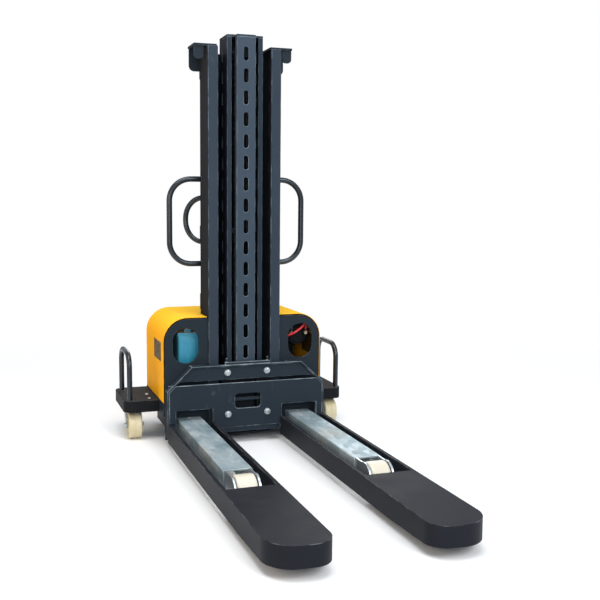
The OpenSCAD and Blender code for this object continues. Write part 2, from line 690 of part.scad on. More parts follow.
// Inner mast
module inner_channel() color([0.19, 0.2, 0.22]) {
  difference() {
    blk(in_x - in_flange_w, in_x, in_front, in_back, 30, in_top);
    blk(in_x - in_flange_w - 1, in_x - in_web, in_front + in_flange_t,
      in_back - in_flange_t, 29, in_top + 1);
    // row of slots in the web
    for (i = [0:slots_n - 1]) translate([0, in_mid + 10, slots_z0 + i*slots_pitch])
      plate_x(in_x - in_web - 1, in_x + 1) rounded(12, slots_h - 6, 5.9);
  }
  // stub of the mast roller
  rod_x(stub_d/2, in_x - 1, out_x - out_web - 1, out_mid, mast_roller_z);
}
module inner_mast_channel_right() inner_channel();
module inner_mast_channel_left() left() inner_channel();
mast_rx = out_x - out_web - 1.5 - mast_roller_w;
module mast_rollers() pair() roller(mast_roller_r, mast_roller_w, mast_rx, mast_roller_z, out_mid);
module mast_front_column() color([0.2, 0.21, 0.24]) {
  difference() {
    blk(-col_w/2, col_w/2, col_front, col_front + col_depth, 34, in_top);
    blk(-col_w/2 + col_t, col_w/2 - col_t, col_front + col_t, col_front + col_depth + 1, 33,
      in_top + 1);
    for (i = [0:slots_n - 1]) translate([0, 0, slots_z0 + i*slots_pitch])
      plate_y(col_front - 1, col_front + col_t + 1)
        rounded(slots_w, slots_h, slots_w/2 - 0.1);
  }
}
module inner_mast_head() color([0.2, 0.21, 0.24]) {
  // head plate over both channels and the column
  blk(-in_x, in_x, in_front, in_back, in_top, in_top + head_t);
  blk(-col_w/2, col_w/2, col_front, in_front + 1, in_top, in_top + head_t);
  // crosshead that takes the rod, with the sheave pin through it
  difference() {
    blk(-chain_x + chain_w/2 + 1.5, chain_x - chain_w/2 - 1.5, cyl_y - 18, cyl_y + 18,
      sheave_z - 20, in_top);
    rod_x(8, -60, 60, cyl_y, sheave_z);
  }
  rod_x(8, -chain_x - chain_w/2 - 2, chain_x + chain_w/2 + 2, cyl_y, sheave_z);
  // back plate between the two channels
  blk(-in_x + in_flange_w, in_x - in_flange_w, in_back - 11, in_back, in_top - head_back_h,
    in_top + 1);
  // lower tie of the inner mast, with a tongue to the foot of the column
  blk(-in_x + in_web, in_x - in_web, in_front + in_flange_t, in_back - in_flange_t, 34, 60);
  blk(-col_w/2 + col_t, col_w/2 - col_t, col_front + col_t, in_front + in_flange_t + 1, 34, 60);
}
module lift_cylinder_rod() color([0.85, 0.86, 0.87])
  rod_z(rod_d/2, shelf_z + 20, sheave_z - 20, 0, cyl_y);
module lift_cylinder_tube() color([0.14, 0.14, 0.15]) difference() {
  union() {
    rod_z(cyl_d/2, shelf_z, cyl_top - 12, 0, cyl_y);
    rod_z(cyl_d/2 + 1, cyl_top - 12, cyl_top, 0, cyl_y);
    rod_y(9, cyl_y, port_back, 0, port_z);
  }
  rod_z(rod_d/2 + run_clear, shelf_z + 16, cyl_top + 1, 0, cyl_y);
}
module chain_sheaves() color([0.6, 0.61, 0.62]) pair() difference() {
  rod_x(sheave_r - chain_t/2, chain_x - chain_w/2 + 0.5, chain_x + chain_w/2 - 0.5, cyl_y,
    sheave_z);
  rod_x(8 + run_clear, 0, 60, cyl_y, sheave_z);
}
module chain_bar(y, z0, z1) pair()
  blk(chain_x - chain_w/2, chain_x + chain_w/2, y - chain_t/2, y + chain_t/2, z0, z1);
module lift_chain_front() color([0.35, 0.34, 0.32])
  chain_bar(cyl_y - sheave_r, arm_high - 22, sheave_z);
module lift_chain_rear() color([0.35, 0.34, 0.32])
  chain_bar(cyl_y + sheave_r, shelf_z + 12, sheave_z);
module lift_chain_over_sheaves() color([0.35, 0.34, 0.32]) pair()
  translate([chain_x - chain_w/2, cyl_y, sheave_z]) rotate([0, 90, 0]) difference() {
    cylinder(r = sheave_r + chain_t/2, h = chain_w);
    translate([0, 0, -1]) cylinder(r = sheave_r - chain_t/2 + 0.3, h = chain_w + 2);
    translate([0, -100, -1]) cube([200, 200, 100]);
  }

// Chassis and body
module body_outline(half, top, r, low) {
  translate([-half, low]) square([2*half, top - r - low]);
  translate([-half + r, low]) square([2*(half - r), top - low]);
  for (s = [-1, 1]) translate([s*(half - r), top - r]) circle(r);
}
module chassis_frame() color([0.15, 0.16, 0.17]) {
  // floor, side plates and rear plate
  blk(-tun_out, tun_out, bulk_back, body_back - chassis_t, floor_z, floor_z + chassis_t);
  pair() blk(hood_half - chassis_t, hood_half, bulk_back, body_back, side_low, deck_z);
  difference() {
    union() {
      blk(-tun_out, tun_out, body_back - chassis_t, body_back, floor_z, deck_z);
      blk(-hood_half + chassis_t - 1, hood_half - chassis_t + 1, body_back - chassis_t, body_back,
        side_low, deck_z);
    }
    pair() blk(leg_x - tun_in, leg_x + tun_in, 0, body_back + 1, floor_z - 1, tun_top);
  }
  pair() {
    // deck beside the mast
    blk(out_x + 4, hood_half - chassis_t + 1, bulk_back, body_back - chassis_t + 1, deck_low,
      deck_z);
    // tunnel of the leg
    difference() {
      blk(leg_x - tun_in - 5, tun_out, bulk_back, body_back - chassis_t + 1,
        floor_z + chassis_t - 1, tun_top + 5);
      blk(leg_x - tun_in, leg_x + tun_in, 0, body_back, floor_z, tun_top);
    }
    // guide block of the lock pin
    difference() {
      blk(leg_x - 16, leg_x + 16, body_back - 1, body_rear, tun_top, lock_block);
      rod_z(lock_d/2 + run_clear, tun_top - 1, lock_block + 1, leg_x, lock_y);
    }
  }
  // deck behind the mast
  blk(-out_x - 5, out_x + 5, tie_back + 2, body_back - chassis_t + 1, deck_low, deck_z);
  // saddle that carries the pump block
  blk(pack_x - 30, pack_x + 30, pump_y + 8, pump_y + 36, deck_z - 1, pack_z - pump_h);
}
module front_bulkhead() color([0.15, 0.16, 0.18]) difference() {
  plate_y(bulk_y, bulk_back) difference() {
    body_outline(bulk_half, bulk_top, hood_r - hood_lip, floor_z);
    // mast, windows and legs pass through
    translate([-out_x - 1, floor_z - 1]) square([mast_w + 2, bulk_top]);
    pair() translate([bwin_x, bwin_z]) rounded(bwin_w, bwin_h, bwin_w/2 - 1);
    pair() translate([leg_x - tun_in - 1, floor_z - 1])
      square([2*tun_in + 2, tun_top + 2 - floor_z]);
  }
}
screw_rows = [200, 330];              // the hood's screws at the back
screw_x = hood_half - 54;
vent_y = 97;
vent_l = 135;
vent_z = 300;
vent_h = 72;
module rear_hood() color([0.97, 0.66, 0.05]) difference() {
  plate_y(bulk_back, body_back) body_outline(hood_half, hood_top, hood_r, deck_z);
  plate_y(bulk_back - 1, body_back - hood_t) body_outline(hood_half - hood_t,
    hood_top - hood_t, hood_r - hood_t, deck_z - 1);
  // notch for the mast, a smaller one for the hose and the conduit, and the two vents
  blk(-out_x - 3, out_x + 3, 0, tie_back + 3, hood_top - 20, hood_top + 1);
  blk(-24, conduit_x + 14, tie_back, tie_back + 40, hood_top - 20, hood_top + 1);
  blk(-body_w, body_w, vent_y, vent_y + vent_l, vent_z, vent_z + vent_h);
  pair() for (z = screw_rows) rod_y(3 + run_clear, body_back - 10, body_back + 1, screw_x, z);
}
module hood_vent_panels() color([0.2, 0.16, 0.1]) pair() difference() {
  blk(hood_half - hood_t - 2.5, hood_half - hood_t, vent_y - 6, vent_y + vent_l + 6, vent_z - 6,
    vent_z + vent_h + 3);
  for (i = [0:4]) blk(hood_half - hood_t - 1.2, hood_half, vent_y + 8, vent_y + vent_l - 8,
    vent_z + 8 + 12*i, vent_z + 13 + 12*i);
}
module screw_z(x, y, z) {
  rod_z(6.5, z, z + 1.5, x, y);
  rod_z(4.5, z + 1, z + 4, x, y);
  rod_z(3, z - plat_t, z + 1, x, y);
}
scr = [[plat_x - 98, plat_y + 35], [plat_x - 102, plat_y + 105]];
// The platform's screws, and the buttons of the hood's lower edge at the back
module body_screws() color([0.78, 0.79, 0.8]) pair() {
  for (p = scr) screw_z(p[0], p[1], plat_z);
  for (z = screw_rows) {
    rod_y(6, body_back, body_back + 3, screw_x, z);
    rod_y(3, body_back - hood_t, body_back + 1, screw_x, z);
  }
}
// Plan of a platform, drawn i inside its outline; only the outer corners are round
module plat_plan(i) {
  r = plat_r - i;
  x = plat_x - hood_half;
  translate([hood_half + i, plat_y + i]) square([x - i - plat_r, plat_len - 2*i]);
  translate([plat_x - plat_r - 1, plat_y + plat_r]) square([plat_r + 1 - i, plat_len - 2*plat_r]);
  for (y = [plat_y + plat_r, plat_y + plat_len - plat_r])
    translate([plat_x - plat_r, y]) circle(r);
}
module platform() color([0.14, 0.14, 0.15]) difference() {
  union() {
    translate([0, 0, plat_z - plat_t]) linear_extrude(plat_t) plat_plan(0);
    translate([0, 0, plat_low]) linear_extrude(plat_rim) difference() {
      plat_plan(0);
      plat_plan(plat_t);
    }
  }
  for (p = scr) rod_z(3 + run_clear, plat_z - plat_t - 1, plat_z + 1, p[0], p[1]);
}
module side_platform_right() platform();
module side_platform_left() left() platform();
module step_guards() color([0.1, 0.1, 0.11]) pair()
  translate([guard_x, guard_y1, plat_z]) rotate([0, 0, 90])
    hoop(guard_y2 - guard_y1, guard_z - plat_z, guard_r, guard_d/2);

// Drive and controls
module battery_case() color([0.13, 0.45, 0.56])
  blk(-bat_x - bat_w/2, -bat_x + bat_w/2, bat_y, bat_y + bat_l, deck_z, bat_top);
module battery_lid() color([0.72, 0.73, 0.72]) {
  blk(-bat_x - bat_w/2 - lid_lap, -bat_x + bat_w/2 + lid_lap, bat_y - lid_lap,
    bat_y + bat_l + lid_lap, bat_top, lid_top);
  for (y = [bat_y + cap_in, bat_y + bat_l - cap_in - cap_w])
    blk(-bat_x - cap_x, -bat_x - cap_x + cap_w, y, y + cap_w, lid_top, term_z);
}
module battery_cables() {
  color([0.8, 0.1, 0.1]) cable(red_long, 5);
  color([0.8, 0.1, 0.1]) cable(red_short, 4.5);
  color([0.08, 0.08, 0.08]) cable(black_long, 5);
}
module lift_motor() color([0.1, 0.1, 0.11]) {
  rod_y(motor_r, motor_y, pump_y, pack_x, pack_z);
  rod_y(motor_r - 8, motor_y - 5, motor_y + 1, pack_x, pack_z);
  for (s = [-1, 1]) rod_y(4, motor_y - 22, motor_y, pack_x + s*29, pack_z);
}
module pump_and_valve_block() color([0.6, 0.61, 0.62]) {
  blk(pack_x - 36, pack_x + 36, pump_y, pump_y + pump_l, pack_z - pump_h, pack_z + 30);
  rod_x(10, pack_x - 50, pack_x - 35, port_y, pack_z);
}
module oil_tank() color([0.12, 0.12, 0.13]) {
  rod_y(motor_r, pump_y + pump_l, pump_y + pump_l + 110, pack_x, pack_z);
}
module motor_contactor() color([0.12, 0.12, 0.13]) {
  blk(out_x, relay_x + 23, mast_front + 40, mast_front + 84, relay_top - 56, relay_top - 10);
  for (y = relay_y) rod_z(5, relay_top - 10, relay_top, relay_x, y);
}
module hydraulic_hose() color([0.07, 0.07, 0.07]) cable(hose_route, 7, 4, 10);
module control_box() color([0.15, 0.15, 0.16]) {
  difference() {
    blk(-box_w/2, box_w/2, box_y, face, box_z, box_z + box_h);
    for (x = [-button_x, button_x], z = [button_z1, button_z2])
      rod_y(x > 0 && z == button_z2 ? 12 : 10, box_y + 30, face + 1, x, z);
  }
  // conduit down to the hood, ending on its top
  rod_z(6, hood_top, box_z, conduit_x, box_y + 14);
}
face = box_y + box_t;
module button(x, z) {
  rod_y(9.6, face - 12, face + 6, x, z);
}
module lift_button() color([0.85, 0.87, 0.86]) button(-button_x, button_z2);
module lower_button() color([0.15, 0.35, 0.2]) button(-button_x, button_z1);
module emergency_stop_button() color([0.8, 0.08, 0.07]) {
  rod_y(11.6, face - 12, face + 14, button_x, button_z2);
  rod_y(19, face + 14, face + 24, button_x, button_z2);
}
module key_switch() color([0.7, 0.71, 0.72]) {
  rod_y(9.95, face - 19.5, face + 4, button_x, button_z1);
  blk(button_x - 1.5, button_x + 1.5, face + 4, face + 26, button_z1 - 8, button_z1 + 8);
}

// Casters
head_z = cast_top - cast_plate_t - 0.4;
crown_t = 10;
module caster_top_plates() color([0.74, 0.75, 0.76]) pair() {
  blk(cast_x - 38, cast_x + 30, cast_y - 38, cast_y + 38, cast_top - cast_plate_t, cast_top);
  rod_z(pin_d/2, head_z - crown_t - 7, cast_top - 1, cast_x, cast_y);
  rod_z(9, head_z - crown_t - 7, head_z - crown_t - 0.3, cast_x, cast_y);
}
// Swivel fork; above the platform's rim it stays inside a circle that clears the rim
module caster_fork() color([0.74, 0.75, 0.76]) difference() {
  neck = plat_low - 3;
  half = wheel_w/2 + 2;
  union() {
    rod_z(28, head_z - crown_t, head_z, cast_x, cast_y);
    blk(cast_x - half - 1, cast_x + half + 1, cast_y - 17, cast_y + 17, head_z - crown_t, head_z);
    // the two arms, swept back to the axle
    for (s = [-1, 1]) translate([cast_x + s*(half + fork_arm_t/2), 0, 0])
      plate_x(-fork_arm_t/2, fork_arm_t/2) {
        polygon([[cast_y - 17, head_z], [cast_y + 17, head_z], [cast_y + 17, neck],
          [wheel_y + 13, wheel_r - 5], [wheel_y - 13, wheel_r - 5], [cast_y - 17, neck]]);
        translate([wheel_y, wheel_r]) circle(14);
      }
    // axle and its nuts
    rod_x(axle_r, cast_x - half - 7, cast_x + half + 7, wheel_y, wheel_r);
    for (s = [-1, 1]) translate([cast_x + s*(half + fork_arm_t + 2.5), wheel_y, wheel_r])
      rotate([0, 90, 0]) cylinder(d = 18, h = 5, center = true, $fn = 6);
  }
  rod_z(pin_d/2 + run_clear, neck, cast_top, cast_x, cast_y);
}
module caster_fork_right() caster_fork();
module caster_fork_left() left() caster_fork();
// Nylon wheel, with the parting groove round the middle of its tread
module caster_wheel() color([0.88, 0.84, 0.7]) translate([cast_x, wheel_y, wheel_r])
  rotate([0, 90, 0]) rotate_extrude() polygon([[axle_r + run_clear, -wheel_w/2],
    [20, -wheel_w/2], [22, -wheel_w/2 + 4], [38, -wheel_w/2 + 4], [40, -wheel_w/2],
    [wheel_r - 4, -wheel_w/2], [wheel_r, -wheel_w/2 + 4], [wheel_r, -1.2], [wheel_r - 1.5, 0],
    [wheel_r, 1.2], [wheel_r, wheel_w/2 - 4], [wheel_r - 4, wheel_w/2], [40, wheel_w/2],
    [38, wheel_w/2 - 4], [22, wheel_w/2 - 4], [20, wheel_w/2], [axle_r + run_clear, wheel_w/2]]);
module caster_wheel_right() caster_wheel();
module caster_wheel_left() left() caster_wheel();

// Every piece is shifted so that the origin lies under the middle of the machine
module placed() translate([0, y_mid, 0]) children();
placed() chassis_frame();
placed() front_bulkhead();
placed() rear_hood();
placed() hood_vent_panels();
placed() body_screws();
placed() outer_mast_channel_left();
placed() outer_mast_channel_right();
placed() mast_cross_ties();
placed() mast_rear_guard();
placed() mast_top_brackets();
placed() lift_handles();
placed() rear_push_handles();
placed() side_platform_left();
placed() side_platform_right();
placed() step_guards();
placed() lift_cylinder_tube();
placed() hydraulic_hose();
placed() battery_case();
placed() battery_lid();
placed() battery_cables();
placed() lift_motor();
placed() pump_and_valve_block();
placed() oil_tank();
placed() motor_contactor();
placed() control_box();
placed() key_switch();
placed() emergency_stop_button();
placed() lift_button();
placed() lower_button();
placed() caster_top_plates();
placed() lift_chain_rear();
placed() inner_mast_channel_left();
placed() inner_mast_channel_right();
placed() mast_front_column();
placed() inner_mast_head();
placed() lift_cylinder_rod();
placed() lift_chain_over_sheaves();
placed() lift_chain_front();
placed() chain_sheaves();
placed() mast_rollers();
placed() carriage_frame();
placed() carriage_front_plate();
placed() carriage_bolts();
placed() carriage_roller_arms();
placed() fork_left();
placed() fork_right();
placed() carriage_rollers_upper();
placed() carriage_rollers_lower();
placed() straddle_leg_left();
placed() straddle_leg_right();
placed() leg_roller_cheeks_left();
placed() leg_roller_cheeks_right();
placed() load_roller_left();
placed() load_roller_right();
placed() leg_lock_pin_left();
placed() leg_lock_pin_right();
placed() caster_fork_left();
placed() caster_fork_right();
placed() caster_wheel_left();
placed() caster_wheel_right();
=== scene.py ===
"""Looks of a self-loading stacker: slotted fork arms over sliding legs, a two-stage mast, step platforms."""
import json
from math import cos, pi, radians, sin, tan

import bmesh
import bpy
import numpy as np
from mathutils import Euler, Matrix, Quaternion, Vector


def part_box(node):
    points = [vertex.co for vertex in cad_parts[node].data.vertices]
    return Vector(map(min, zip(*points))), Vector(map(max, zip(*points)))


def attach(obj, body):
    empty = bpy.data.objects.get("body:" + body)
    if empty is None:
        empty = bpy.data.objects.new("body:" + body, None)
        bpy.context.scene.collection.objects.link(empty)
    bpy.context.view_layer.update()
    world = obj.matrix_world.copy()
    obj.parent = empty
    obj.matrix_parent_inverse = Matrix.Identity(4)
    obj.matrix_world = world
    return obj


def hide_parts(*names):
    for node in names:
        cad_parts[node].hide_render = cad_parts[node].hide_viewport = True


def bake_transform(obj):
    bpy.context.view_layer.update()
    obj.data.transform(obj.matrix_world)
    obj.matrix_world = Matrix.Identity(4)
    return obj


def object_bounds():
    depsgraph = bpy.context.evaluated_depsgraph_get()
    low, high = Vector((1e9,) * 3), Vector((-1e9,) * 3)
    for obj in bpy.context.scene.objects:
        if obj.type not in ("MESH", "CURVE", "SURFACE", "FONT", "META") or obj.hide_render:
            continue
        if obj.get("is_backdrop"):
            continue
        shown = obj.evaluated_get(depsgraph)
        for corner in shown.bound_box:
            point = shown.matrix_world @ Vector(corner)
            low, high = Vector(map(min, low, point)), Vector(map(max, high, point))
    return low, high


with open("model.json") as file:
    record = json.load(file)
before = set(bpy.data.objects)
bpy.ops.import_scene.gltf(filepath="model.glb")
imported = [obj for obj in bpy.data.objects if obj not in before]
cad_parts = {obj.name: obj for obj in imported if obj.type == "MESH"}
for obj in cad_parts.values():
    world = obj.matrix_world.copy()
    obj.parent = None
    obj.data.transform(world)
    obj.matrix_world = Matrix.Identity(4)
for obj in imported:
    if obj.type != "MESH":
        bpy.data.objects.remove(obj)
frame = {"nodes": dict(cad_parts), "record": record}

cad_box = [list(corner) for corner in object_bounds()]
scene = bpy.context.scene
scene.view_settings.view_transform = "Standard"

# The studio: a camera at the photograph's viewpoint, to the left of the forks and just under
# the handles' height, a pale floor that fades into a white room, and five soft lamps.
camera = bpy.data.objects.new("camera", bpy.data.cameras.new("camera"))
scene.collection.objects.link(camera)
scene.camera = camera
camera.location = (-0.9123, -2.5871, 0.8938)
aim = Euler((radians(90 - 6.452), 0, radians(-18.223))).to_quaternion()
camera.rotation_euler = (aim @ Quaternion((0, 0, 1), radians(0.276))).to_euler()
camera.data.sensor_width, camera.data.lens = 36, 51.5
camera.data.shift_x, camera.data.shift_y = 0.0589, -0.006


def rgb(red, green, blue):
    """Screen colour from 0 to 255 as linear light: the 2.4 power of each share, after its offset."""
    share = (np.array((red, green, blue)) / 255 + 0.055) / 1.055
    return (*(share ** 2.4).tolist(), 1.0)


class Wire:
    """An output of a finish's nodes; sums and products of wires and numbers add Math nodes."""

    def __init__(self, finish, socket):
        self.finish, self.socket = finish, socket

    def math(self, operation, *others):
        return self.finish.node("ShaderNodeMath", {"operation": operation}, dict(enumerate((self, *others))))

    def __add__(self, other):
        return self.math("ADD", other)

    def __sub__(self, other):
        return self.math("SUBTRACT", other)

    def __rsub__(self, other):
        return self * -1.0 + other

    def __mul__(self, other):
        return self.math("MULTIPLY", other)

    __radd__, __rmul__ = __add__, __mul__

    def between(self, low, high):
        """0 below low, 1 above high, and a smooth step from one to the other."""
        return self.finish.node("ShaderNodeMapRange", {"interpolation_type": "SMOOTHSTEP"},
                                {"Value": self, "From Min": low, "From Max": high})


class Finish:
    """A material being laid on, for one slot of the record."""

    def __init__(self, name, slot, owner=None):
        self.slot = slot
        self.owner = owner or bpy.data.materials.new(name)
        self.owner.use_nodes = True
        self.tree = self.owner.node_tree
        self.tree.nodes.clear()

    def node(self, kind, settings={}, inputs={}, out=0):
        """Adds a node of a type, makes its settings, then fills its sockets with values or wires."""
        made = self.tree.nodes.new(kind)
        for key, value in settings.items():
            setattr(made, key, value)
        for key, value in inputs.items():
            if isinstance(value, Wire):
                self.tree.links.new(value.socket, made.inputs[key])
            else:
                made.inputs[key].default_value = value
        return Wire(self, made.outputs[out]) if made.outputs else None

    def place(self, stretch=(1, 1, 1)):
        """Object coordinates, packed closer along the axes with the larger stretch."""
        where = self.node("ShaderNodeTexCoord", out="Object")
        if tuple(stretch) == (1, 1, 1):
            return where
        return self.node("ShaderNodeMapping", {}, {"Vector": where, "Scale": stretch})

    def noise(self, scale, stretch=(1, 1, 1), detail=3.0):
        return self.node("ShaderNodeTexNoise", {},
                         {"Vector": self.place(stretch), "Scale": scale, "Detail": detail})

    def cells(self, scale, stretch=(1, 1, 1), out="Distance"):
        return self.node("ShaderNodeTexVoronoi", {}, {"Vector": self.place(stretch), "Scale": scale}, out)

    def along(self, axis):
        """One of the object coordinates in metres: 0 for x, 1 for y, 2 for z."""
        return self.node("ShaderNodeSeparateXYZ", {}, {0: self.place()}, axis)

    def mark(self, name):
        """A number that the mesh carries on its faces, such as edge or up."""
        return self.node("ShaderNodeAttribute", {"attribute_name": name}, out="Fac")

    def mix(self, share, first, second):
        return self.node("ShaderNodeMix", {"data_type": "RGBA"}, {0: share, 6: first, 7: second}, 2)

    def lay(self, colour, rough, metal=0.0, relief=None, depth=0.0002, **fixed):
        """Ends the finish: colour, roughness, metal and a relief in metres; fixed values go on the shader."""
        inputs = {"Base Color": colour, "Roughness": rough, "Metallic": metal}
        if relief is not None:
            inputs["Normal"] = self.node("ShaderNodeBump", {},
                                         {"Height": relief, "Distance": depth, "Strength": 1.0})
        inputs.update({key.replace("_", " "): value for key, value in fixed.items()})
        shader = self.node("ShaderNodeBsdfPrincipled", {}, inputs)
        self.node("ShaderNodeOutputMaterial", {}, {"Surface": shader})
        return self


world = bpy.data.worlds.new("room")
scene.world = world
room = Finish("room", "", world)
seen = room.node("ShaderNodeLightPath", out="Is Camera Ray").math(
    "MAXIMUM", room.node("ShaderNodeLightPath", out="Is Transmission Ray"))
mirrored = room.node("ShaderNodeLightPath", out="Is Glossy Ray")
lit = room.node("ShaderNodeBackground", {}, {"Color": (0.84, 0.92, 1.0, 1), "Strength": 0.42})
bright = room.node("ShaderNodeBackground", {}, {"Color": (1, 1, 1, 1), "Strength": 1.0})
shown = room.node("ShaderNodeMixShader", {}, {0: seen.math("MAXIMUM", mirrored * 0.25), 1: lit, 2: bright})
room.node("ShaderNodeOutputWorld", {}, {"Surface": shown})

floor = bpy.data.objects.new("floor", bpy.data.meshes.new("floor"))
floor.data.from_pydata([(-14, -14, 0), (14, -14, 0), (14, 14, 0), (-14, 14, 0)], [], [(0, 1, 2, 3)])
scene.collection.objects.link(floor)
floor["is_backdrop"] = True
ground = Finish("studio_floor", "")
away = ground.node("ShaderNodeVectorMath", {"operation": "LENGTH"}, {0: ground.place()}, "Value")
fade_from, fade_to = 1.1, 3.2          # metres from the middle
far = away.between(fade_from, fade_to)
grey = ground.node("ShaderNodeBsdfDiffuse", {}, {"Color": (0.93, 0.935, 0.94, 1)})
white = ground.node("ShaderNodeEmission", {}, {"Color": (1, 1, 1, 1), "Strength": 1.0 - ground.node(
    "ShaderNodeLightPath", out="Is Glossy Ray") * 0.45})
faded = ground.node("ShaderNodeMixShader", {}, {0: far, 1: grey, 2: white})
ground.node("ShaderNodeOutputMaterial", {}, {"Surface": faded})
floor.data.materials.append(ground.owner)

lamp_aim = Vector((0, 0, 0.6))
lamps = (("key", (1.5, -3.7, 3.2), 2.4, 120, 0),
         ("top", (-0.5, -0.5, 4.2), 2.6, 106, 0),
         ("front", (-1.5, -3.6, 1.3), 1.2, 34, 0),
         ("fill", (-3.2, -0.6, 1.4), 1.6, 26, 0.5),
         ("back", (1.4, 4.2, 2.6), 2.4, 70, 0))
for name, where, size, watts, warmth in lamps:
    lamp = bpy.data.objects.new(name, bpy.data.lights.new(name, "AREA"))
    lamp.data.shape, lamp.data.size, lamp.data.energy = "SQUARE", size, watts
    lamp.data.color = (1, 1 - warmth * 0.5, 1 - warmth)
    lamp.location = where
    lamp.rotation_euler = (lamp.location - lamp_aim).to_track_quat("Z", "Y").to_euler()
    scene.collection.objects.link(lamp)

# The chassis: floor, side and rear plates, the two leg tunnels and the deck, cut from 6 mm steel
# plate and welded into one box, then powder coated black.
home = {node: body for body, nodes in frame["record"]["behaviour"]["bodies"].items() for node in nodes}
hands = ("left", "right")
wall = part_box("carriage_front_plate")[0].y          # the drawing's zero lies on the carriage plate's face
X, Y, Z = np.eye(3)                                 # across the machine, to its back, upwards


def at(points):
    """Millimetres from the carriage plate's face, as drawn, into metres in the frame."""
    return np.asarray(points, float) * 0.001 + (0, wall, 0)


def drawn(node):
    """The low and high corners of a drawn node's box, in millimetres from the carriage plate's face."""
    return [np.array(corner) * 1000 - (0, wall * 1000, 0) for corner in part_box(node)]


def shown_piece(mesh, finish, crease, node=None, body=None):
    """Puts a mesh into the scene, in place of a drawn node where one is named. It rides on that
    node's body, or on the chassis, unless a body is named; "" leaves it on no body. It is smooth
    up to the crease angle, and its faces carry two marks: up is the height of the normal, and side
    the size of the normal's share across the machine."""
    mesh.shade_smooth()
    mesh.set_sharp_from_angle(angle=radians(crease))
    normals = np.empty(3 * len(mesh.polygons), np.float32)
    mesh.polygons.foreach_get("normal", normals)
    for mark, values in (("up", normals[2::3]), ("side", np.abs(normals[0::3]))):
        mesh.attributes.new(mark, "FLOAT", "FACE").data.foreach_set("value", np.ascontiguousarray(values))
    mesh.materials.append(finish.owner)
    piece = bpy.data.objects.new(mesh.name, mesh)
    scene.collection.objects.link(piece)
    if node:
        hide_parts(node)
    if body != "":
        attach(piece, body or home.get(node, "chassis"))
    return piece


def eased(node, finish, width=1.0, steps=2, bend=0.0, bent_where=None):
    """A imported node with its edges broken: its triangles merge into plain faces, and each edge that
    turns by more than sharp_from degrees becomes a narrow strip, width mm wide, with the mark edge.
    Where bent_where says so of an edge's middle, the strip is a bend of radius bend mm first.
    Every point is then held inside the node's own box."""
    sharp_from = radians(32)
    bm = bmesh.new()
    bm.from_mesh(frame["nodes"][node].data)
    bmesh.ops.remove_doubles(bm, verts=bm.verts, dist=1e-5)
    bmesh.ops.dissolve_limit(bm, angle_limit=radians(0.5), verts=bm.verts, edges=bm.edges)
    edge_mark = bm.faces.layers.float.new("edge")
    sharp = lambda: [e for e in bm.edges if len(e.link_faces) == 2 and e.calc_face_angle(0) > sharp_from]
    if bent_where:
        chosen = [e for e in sharp() if bent_where(*((e.verts[0].co + e.verts[1].co) / 2), e)]
        bmesh.ops.bevel(bm, geom=chosen, offset=bend * 0.001, segments=5, profile=0.5,
                        affect="EDGES", clamp_overlap=False)
    done = bmesh.ops.bevel(bm, geom=sharp(), offset=width * 0.001, segments=steps, profile=0.5,
                           affect="EDGES", clamp_overlap=False)
    for face in done["faces"]:
        face[edge_mark] = 1.0
    low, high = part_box(node)
    for vertex in bm.verts:
        vertex.co = [min(max(value, least), most) for value, least, most in zip(vertex.co, low, high)]
    mesh = bpy.data.meshes.new(node + "_dressed")
    bm.to_mesh(mesh)
    bm.free()
    flats = shown_piece(mesh, finish, 38, node).modifiers.new("flat faces stay flat", "WEIGHTED_NORMAL")
    flats.keep_sharp = True


def eased_pair(name, *how):
    """The left and the right node of a name, eased in the same way."""
    for side in hands:
        eased(name + side, *how)


# Near black, for painted shade.
painted_shade_black = (0.004, 0.004, 0.004, 1)


